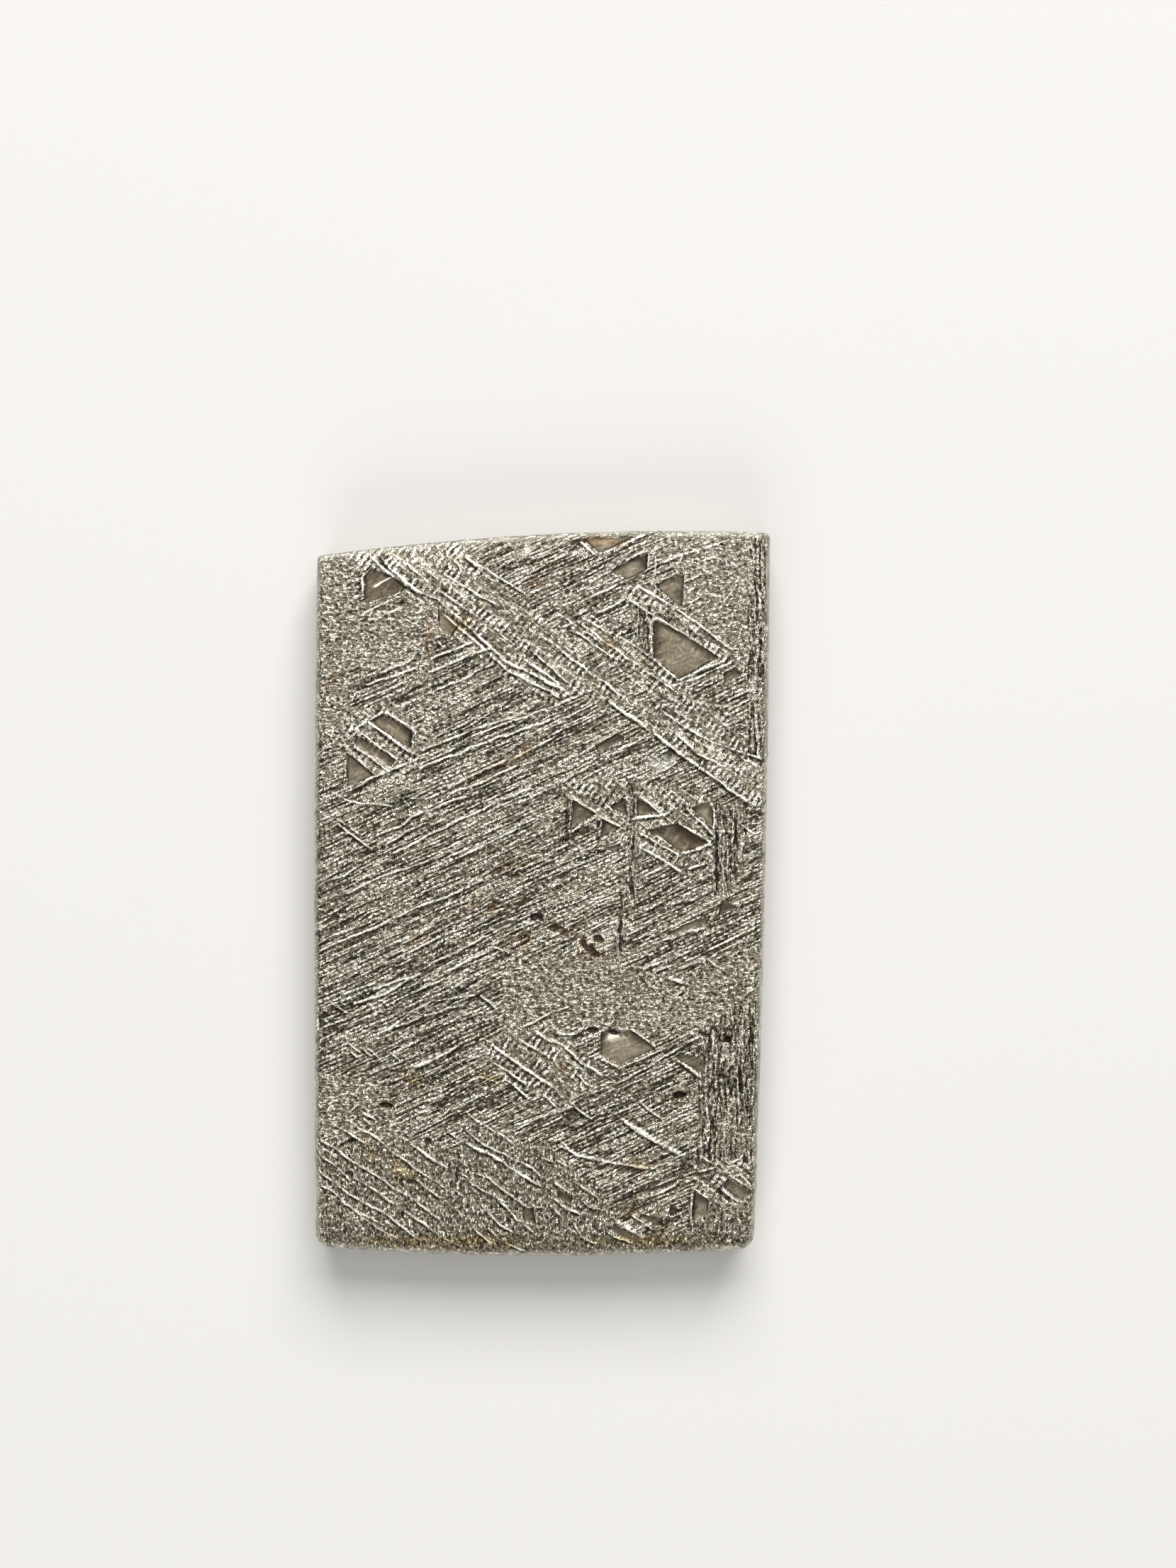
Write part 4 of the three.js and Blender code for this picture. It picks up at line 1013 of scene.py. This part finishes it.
etched_iron = bpy.data.materials.new("etched_iron")
etched_iron.use_nodes = True
tree = etched_iron.node_tree
tree.nodes.clear()


def painted(name):
    return add_node(tree, "Attribute", {}, attribute_name=name).outputs["Fac"]


place = add_node(tree, "TexCoord", {}).outputs["Object"]


def speckle(size, detail, drawn=(1, 1, 1)):
    # Noise with lumps of this size in millimetres, drawn out or pressed by a factor for X, Y and Z.
    pressed = add_node(tree, "VectorMath", {0: place, 1: drawn}, operation="DIVIDE").outputs[0]
    return add_node(
        tree, "TexNoise", {"Vector": pressed, "Scale": 1 / (size * MM), "Detail": detail}
    ).outputs["Fac"]


def grains_along(plane, length, pitch, shivering, lengthways):
    return add_node(tree, "Group", {
        "Bearing": plane["bearing"], "Lean": plane["lean"], "Length": length, "Pitch": pitch,
        "Shiver": shivering, "Lengthways": lengthways,
    }, node_tree=rows_of_grains).outputs


def plates_along(plane, length, thickness):
    return add_node(tree, "Group", {
        "Bearing": plane["bearing"], "Lean": plane["lean"], "Length": length, "Thickness": thickness,
    }, node_tree=lapped_plates).outputs


def crinkled(crinkle):
    # The same three results as from a row of grains, for grains that lie in no rows.
    return {
        "Height": ramped(tree, crinkle, 0.36, 0.64, 0, 1),
        # Painted glints on the highest points and painted shade on the lowest.
        "Glint": ramped(tree, crinkle, 0.54, 0.65, 0, 1),
        "Grain shadow": ramped(tree, crinkle, 0.45, 0.34, 0, 1),
    }


# How bright the painted glints of each filling are, and how dark the painted shadow under the
# steps between its plates.
SHINE = {"beads": 1, "bars": 1.6, "strokes": 0.65, "threads": 1, "flecks": 0.95, "grains": 0.95}
LAP_SHADOW = {"beads": 1, "threads": 1, "bars": 0.5, "strokes": 1}
patterns = {
    "beads": grains_along(RISING, length=0.24, pitch=0.135, shivering=1.1, lengthways=0),
    "bars": grains_along(FALLING, length=0.21, pitch=0.48, shivering=0.5, lengthways=1),
    "strokes": grains_along(UPRIGHT, length=0.35, pitch=0.17, shivering=1.7, lengthways=0),
    "threads": grains_along(RISING, length=0.7, pitch=0.125, shivering=0.8, lengthways=0),
    "flecks": crinkled(speckle(0.08, 3, drawn=(0.8, 1.7, 1))),
    "grains": crinkled(speckle(0.085, 3, drawn=(1.5, 0.8, 1))),
}
rising_laps = plates_along(RISING, length=3.0, thickness=0.24)
falling_laps = plates_along(FALLING, length=2.2, thickness=0.28)
upright_laps = plates_along(UPRIGHT, length=1.4, thickness=0.25)
laps = {
    "beads": rising_laps, "threads": rising_laps, "bars": falling_laps, "strokes": upright_laps,
}


def shared(values):
    # Adds up values of the fillings, each by its share of the place.
    total = None
    for name, value in values.items():
        part = combined(tree, "MULTIPLY", painted(name), value)
        total = part if total is None else combined(tree, "ADD", total, part)
    return total


height = shared({name: pattern["Height"] for name, pattern in patterns.items()})
# Painted glints on the lit flanks of the grains.
glint = shared({
    name: combined(tree, "MULTIPLY", pattern["Glint"], SHINE[name]) for name, pattern in patterns.items()
})
# Painted shadow on the shaded flanks of the grains.
gap = shared({name: pattern["Grain shadow"] for name, pattern in patterns.items()})
lap_height = shared({name: lap["Height"] for name, lap in laps.items()})
# Painted highlight along the lips of the steps, and painted shadow under them.
step_highlight = shared({name: lap["Step highlight"] for name, lap in laps.items()})
step_shadow = shared({
    name: combined(tree, "MULTIPLY", lap["Step shadow"], LAP_SHADOW[name]) for name, lap in laps.items()
})
fuzz = ramped(tree, speckle(0.05, 2), 0.3, 0.7, -1, 1)
crumple = ramped(tree, speckle(0.14, 2), 0.3, 0.7, -1, 1)

IRON = shade(119, 112, 98)
# The iron in painted shade, at the foot of the slice.
IRON_IN_SHADE_AT_THE_FOOT = shade(110, 102, 86)
# Painted highlight, then painted shade, dark and in a brown tint.
HIGHLIGHT_PALE = shade(248, 243, 226)
SHADE_DARK = shade(31, 29, 24)
SHADE_BROWN = shade(46, 35, 26)
FIELD_GREY = shade(118, 110, 94)
FIELD_SHADOW = shade(78, 69, 54)
RUST = shade(200, 165, 125)
STRAW = shade(246, 226, 170)
STAIN = shade(56, 44, 33)

in_field = painted("field")
in_pit = combined(tree, "MULTIPLY", painted("pit"), ramped(tree, crumple, -0.3, 0.3, 0.45, 1))
on_crest = painted("crest")
way_out = add_node(tree, "Attribute", {}, attribute_name="blank_normal").outputs["Vector"]
facing_up = add_node(tree, "SeparateXYZ", {"Vector": way_out}).outputs["Z"]
quiet_on_the_face = combined(
    tree, "MULTIPLY", ramped(tree, in_field, 0, 1, 1, 0.08), ramped(tree, on_crest, 0.2, 0.8, 1, 0.3)
)
quiet = combined(tree, "MULTIPLY", quiet_on_the_face, ramped(tree, facing_up, 0.1, 0.7, 0.4, 1))
standing = painted("standing")


def quieted(value, share):
    return combined(tree, "MULTIPLY", combined(tree, "MULTIPLY", value, share), quiet)


def summed(*values):
    total = values[0]
    for value in values[1:]:
        total = combined(tree, "ADD", total, value)
    return total


# Painted highlights and shade: how bright and how dark each place is, from what each effect adds:
# glints on lit flanks, lips of steps and raised points; shadows on the other flanks, under the
# steps and in hollows; and random mottling.
brightness = summed(
    quieted(glint, 0.85), quieted(step_highlight, 0.3), quieted(fuzz, 0.15), quieted(crumple, 0.3),
    ramped(tree, standing, 0, 1, 0, 0.35),
)
darkness = summed(
    quieted(gap, 0.95), quieted(step_shadow, 0.8), quieted(fuzz, -0.15), quieted(crumple, -0.45),
    ramped(tree, standing, 0, -1, 0, 0.7),
)

# The colours, one laid over the other: bare iron, in painted shade towards the foot, or field;
# painted highlights; painted shade; dark lines; painted highlights along the crests, with the
# lighter rolled edges and painted glints; rust, straw-coloured stains and pits.
# Painted shade: the bare iron grows darker towards the foot.
along_slice = add_node(tree, "SeparateXYZ", {"Vector": place}).outputs["Y"]
shade_towards_foot = ramped(tree, along_slice, 0.013, -0.013, 0, 1)
iron_shaded_to_foot = mixed(tree, shade_towards_foot, IRON, IRON_IN_SHADE_AT_THE_FOOT)
shadowed = combined(
    tree, "ADD", painted("field_shade"), ramped(tree, speckle(0.12, 3), 0.35, 0.65, -0.2, 0.4)
)
mottled_field = mixed(tree, shadowed, FIELD_GREY, FIELD_SHADOW)
fielded = mixed(tree, in_field, iron_shaded_to_foot, mottled_field)
# The colour of painted shade, brown in places.
shade_colour = mixed(tree, ramped(tree, speckle(0.9, 2), 0.4, 0.6, 0, 1), SHADE_DARK, SHADE_BROWN)
# Painted highlights laid over the iron or field.
highlighted = mixed(tree, ramped(tree, brightness, 0, 1, 0, 0.85), fielded, HIGHLIGHT_PALE)
# Painted shade laid over them.
shaded = mixed(tree, ramped(tree, darkness, 0, 1, 0, 0.96), highlighted, shade_colour)
# Painted shadow beside the ribs, and the seams, in the shade colour.
lined = mixed(tree, combined(tree, "MULTIPLY", painted("dark_line"), 0.7), shaded, shade_colour)
# Painted highlight along the rib crests and field rims, with the lighter rolled edges and painted glints.
crest_highlight = combined(
    tree, "MULTIPLY", ramped(tree, on_crest, 0.35, 0.9, 0, 1),
    ramped(tree, speckle(0.28, 2), 0.38, 0.6, 0.35, 1),
)
bright_share = combined(tree, "MAXIMUM", crest_highlight, combined(tree, "MULTIPLY", painted("rolled_edge_and_glint"), 0.75))
lit = mixed(tree, combined(tree, "MULTIPLY", bright_share, 0.9), lined, HIGHLIGHT_PALE)
rusted = add_node(tree, "Mix", {
    0: combined(tree, "MULTIPLY", painted("rust"), 0.7), 6: lit, 7: RUST,
}, data_type="RGBA", blend_type="MULTIPLY").outputs[2]
strawed = add_node(tree, "Mix", {
    0: combined(tree, "MULTIPLY", painted("straw"), 0.7), 6: rusted, 7: STRAW,
}, data_type="RGBA", blend_type="MULTIPLY").outputs[2]
pitted = mixed(tree, in_pit, strawed, STAIN)

# The height of the finest grain, and how rough the metal is.
bump_height = summed(
    quieted(height, 0.9), quieted(lap_height, 0.8), quieted(fuzz, 0.3), quieted(crumple, 0.7)
)
GRAIN_DEPTH = 0.022
CREVICE_ROUGHNESS = 0.38
CREST_ROUGHNESS = 0.17
FIELD_ROUGHER = 0.15
SIDES_ROUGHER = 0.1
bumped = add_node(
    tree, "Bump", {"Height": bump_height, "Distance": GRAIN_DEPTH * MM}
).outputs["Normal"]
polish = combined(tree, "SUBTRACT", brightness, darkness)
roughness = summed(
    ramped(tree, polish, -0.6, 0.6, CREVICE_ROUGHNESS, CREST_ROUGHNESS),
    ramped(tree, speckle(0.5, 3), 0.3, 0.7, -0.05, 0.05),
    ramped(tree, in_field, 0, 1, 0, FIELD_ROUGHER), ramped(tree, facing_up, 0.1, 0.7, SIDES_ROUGHER, 0),
)
shader = add_node(tree, "BsdfPrincipled", {
    "Base Color": pitted, "Metallic": ramped(tree, in_pit, 0, 1, 1, 0.6), "Roughness": roughness,
    "Normal": bumped,
})
tree.links.new(
    shader.outputs[0], add_node(tree, "OutputMaterial", {}).inputs["Surface"]
)
slice_mesh.materials.append(etched_iron)

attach(etched_slice, "root")
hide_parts("meteorite_slice")

# The floor: a wide pale board with a matt surface. It is no part of the slice, which lies loose
# on it.
FLOOR_SIZE = 800 * MM
PALE = shade(198, 196, 192)
floor_mesh = bpy.data.meshes.new("floor")
half = FLOOR_SIZE / 2
floor_mesh.from_pydata(
    [(-half, -half, 0), (half, -half, 0), (half, half, 0), (-half, half, 0)], [], [(0, 1, 2, 3)]
)
floor = bpy.data.objects.new("floor", floor_mesh)
bpy.context.scene.collection.objects.link(floor)
pale_board = bpy.data.materials.new("pale_board")
pale_board.use_nodes = True
board_shader = pale_board.node_tree.nodes["Principled BSDF"]
board_shader.inputs["Base Color"].default_value = PALE
board_shader.inputs["Roughness"].default_value = 0.85
floor_mesh.materials.append(pale_board)


# The light: a wide soft lamp over the slice, a bright one beyond its head, a weak one beyond its
# foot, and a dim room.
def soft_lamp(name, place, width, height, power):
    data = bpy.data.lights.new(name, "AREA")
    data.shape = "RECTANGLE"
    data.size = width * MM
    data.size_y = height * MM
    data.energy = power
    lamp = bpy.data.objects.new(name, data)
    lamp.location = Vector(place) * MM
    lamp.rotation_euler = Vector(place).to_track_quat("Z", "Y").to_euler()
    bpy.context.scene.collection.objects.link(lamp)


soft_lamp("overhead_lamp", place=(20, 20, 600), width=300, height=490, power=1.55)
soft_lamp("head_lamp", place=(60, 420, 410), width=420, height=380, power=5.2)
soft_lamp("foot_lamp", place=(-60, -450, 320), width=420, height=300, power=1.2)
ROOM_GREY = shade(150, 150, 150)
ROOM_STRENGTH = 0.32
room = bpy.data.worlds.new("room")
room.use_nodes = True
room.node_tree.nodes["Background"].inputs["Color"].default_value = ROOM_GREY
room.node_tree.nodes["Background"].inputs["Strength"].default_value = ROOM_STRENGTH
bpy.context.scene.world = room
bpy.context.scene.view_settings.view_transform = "Standard"
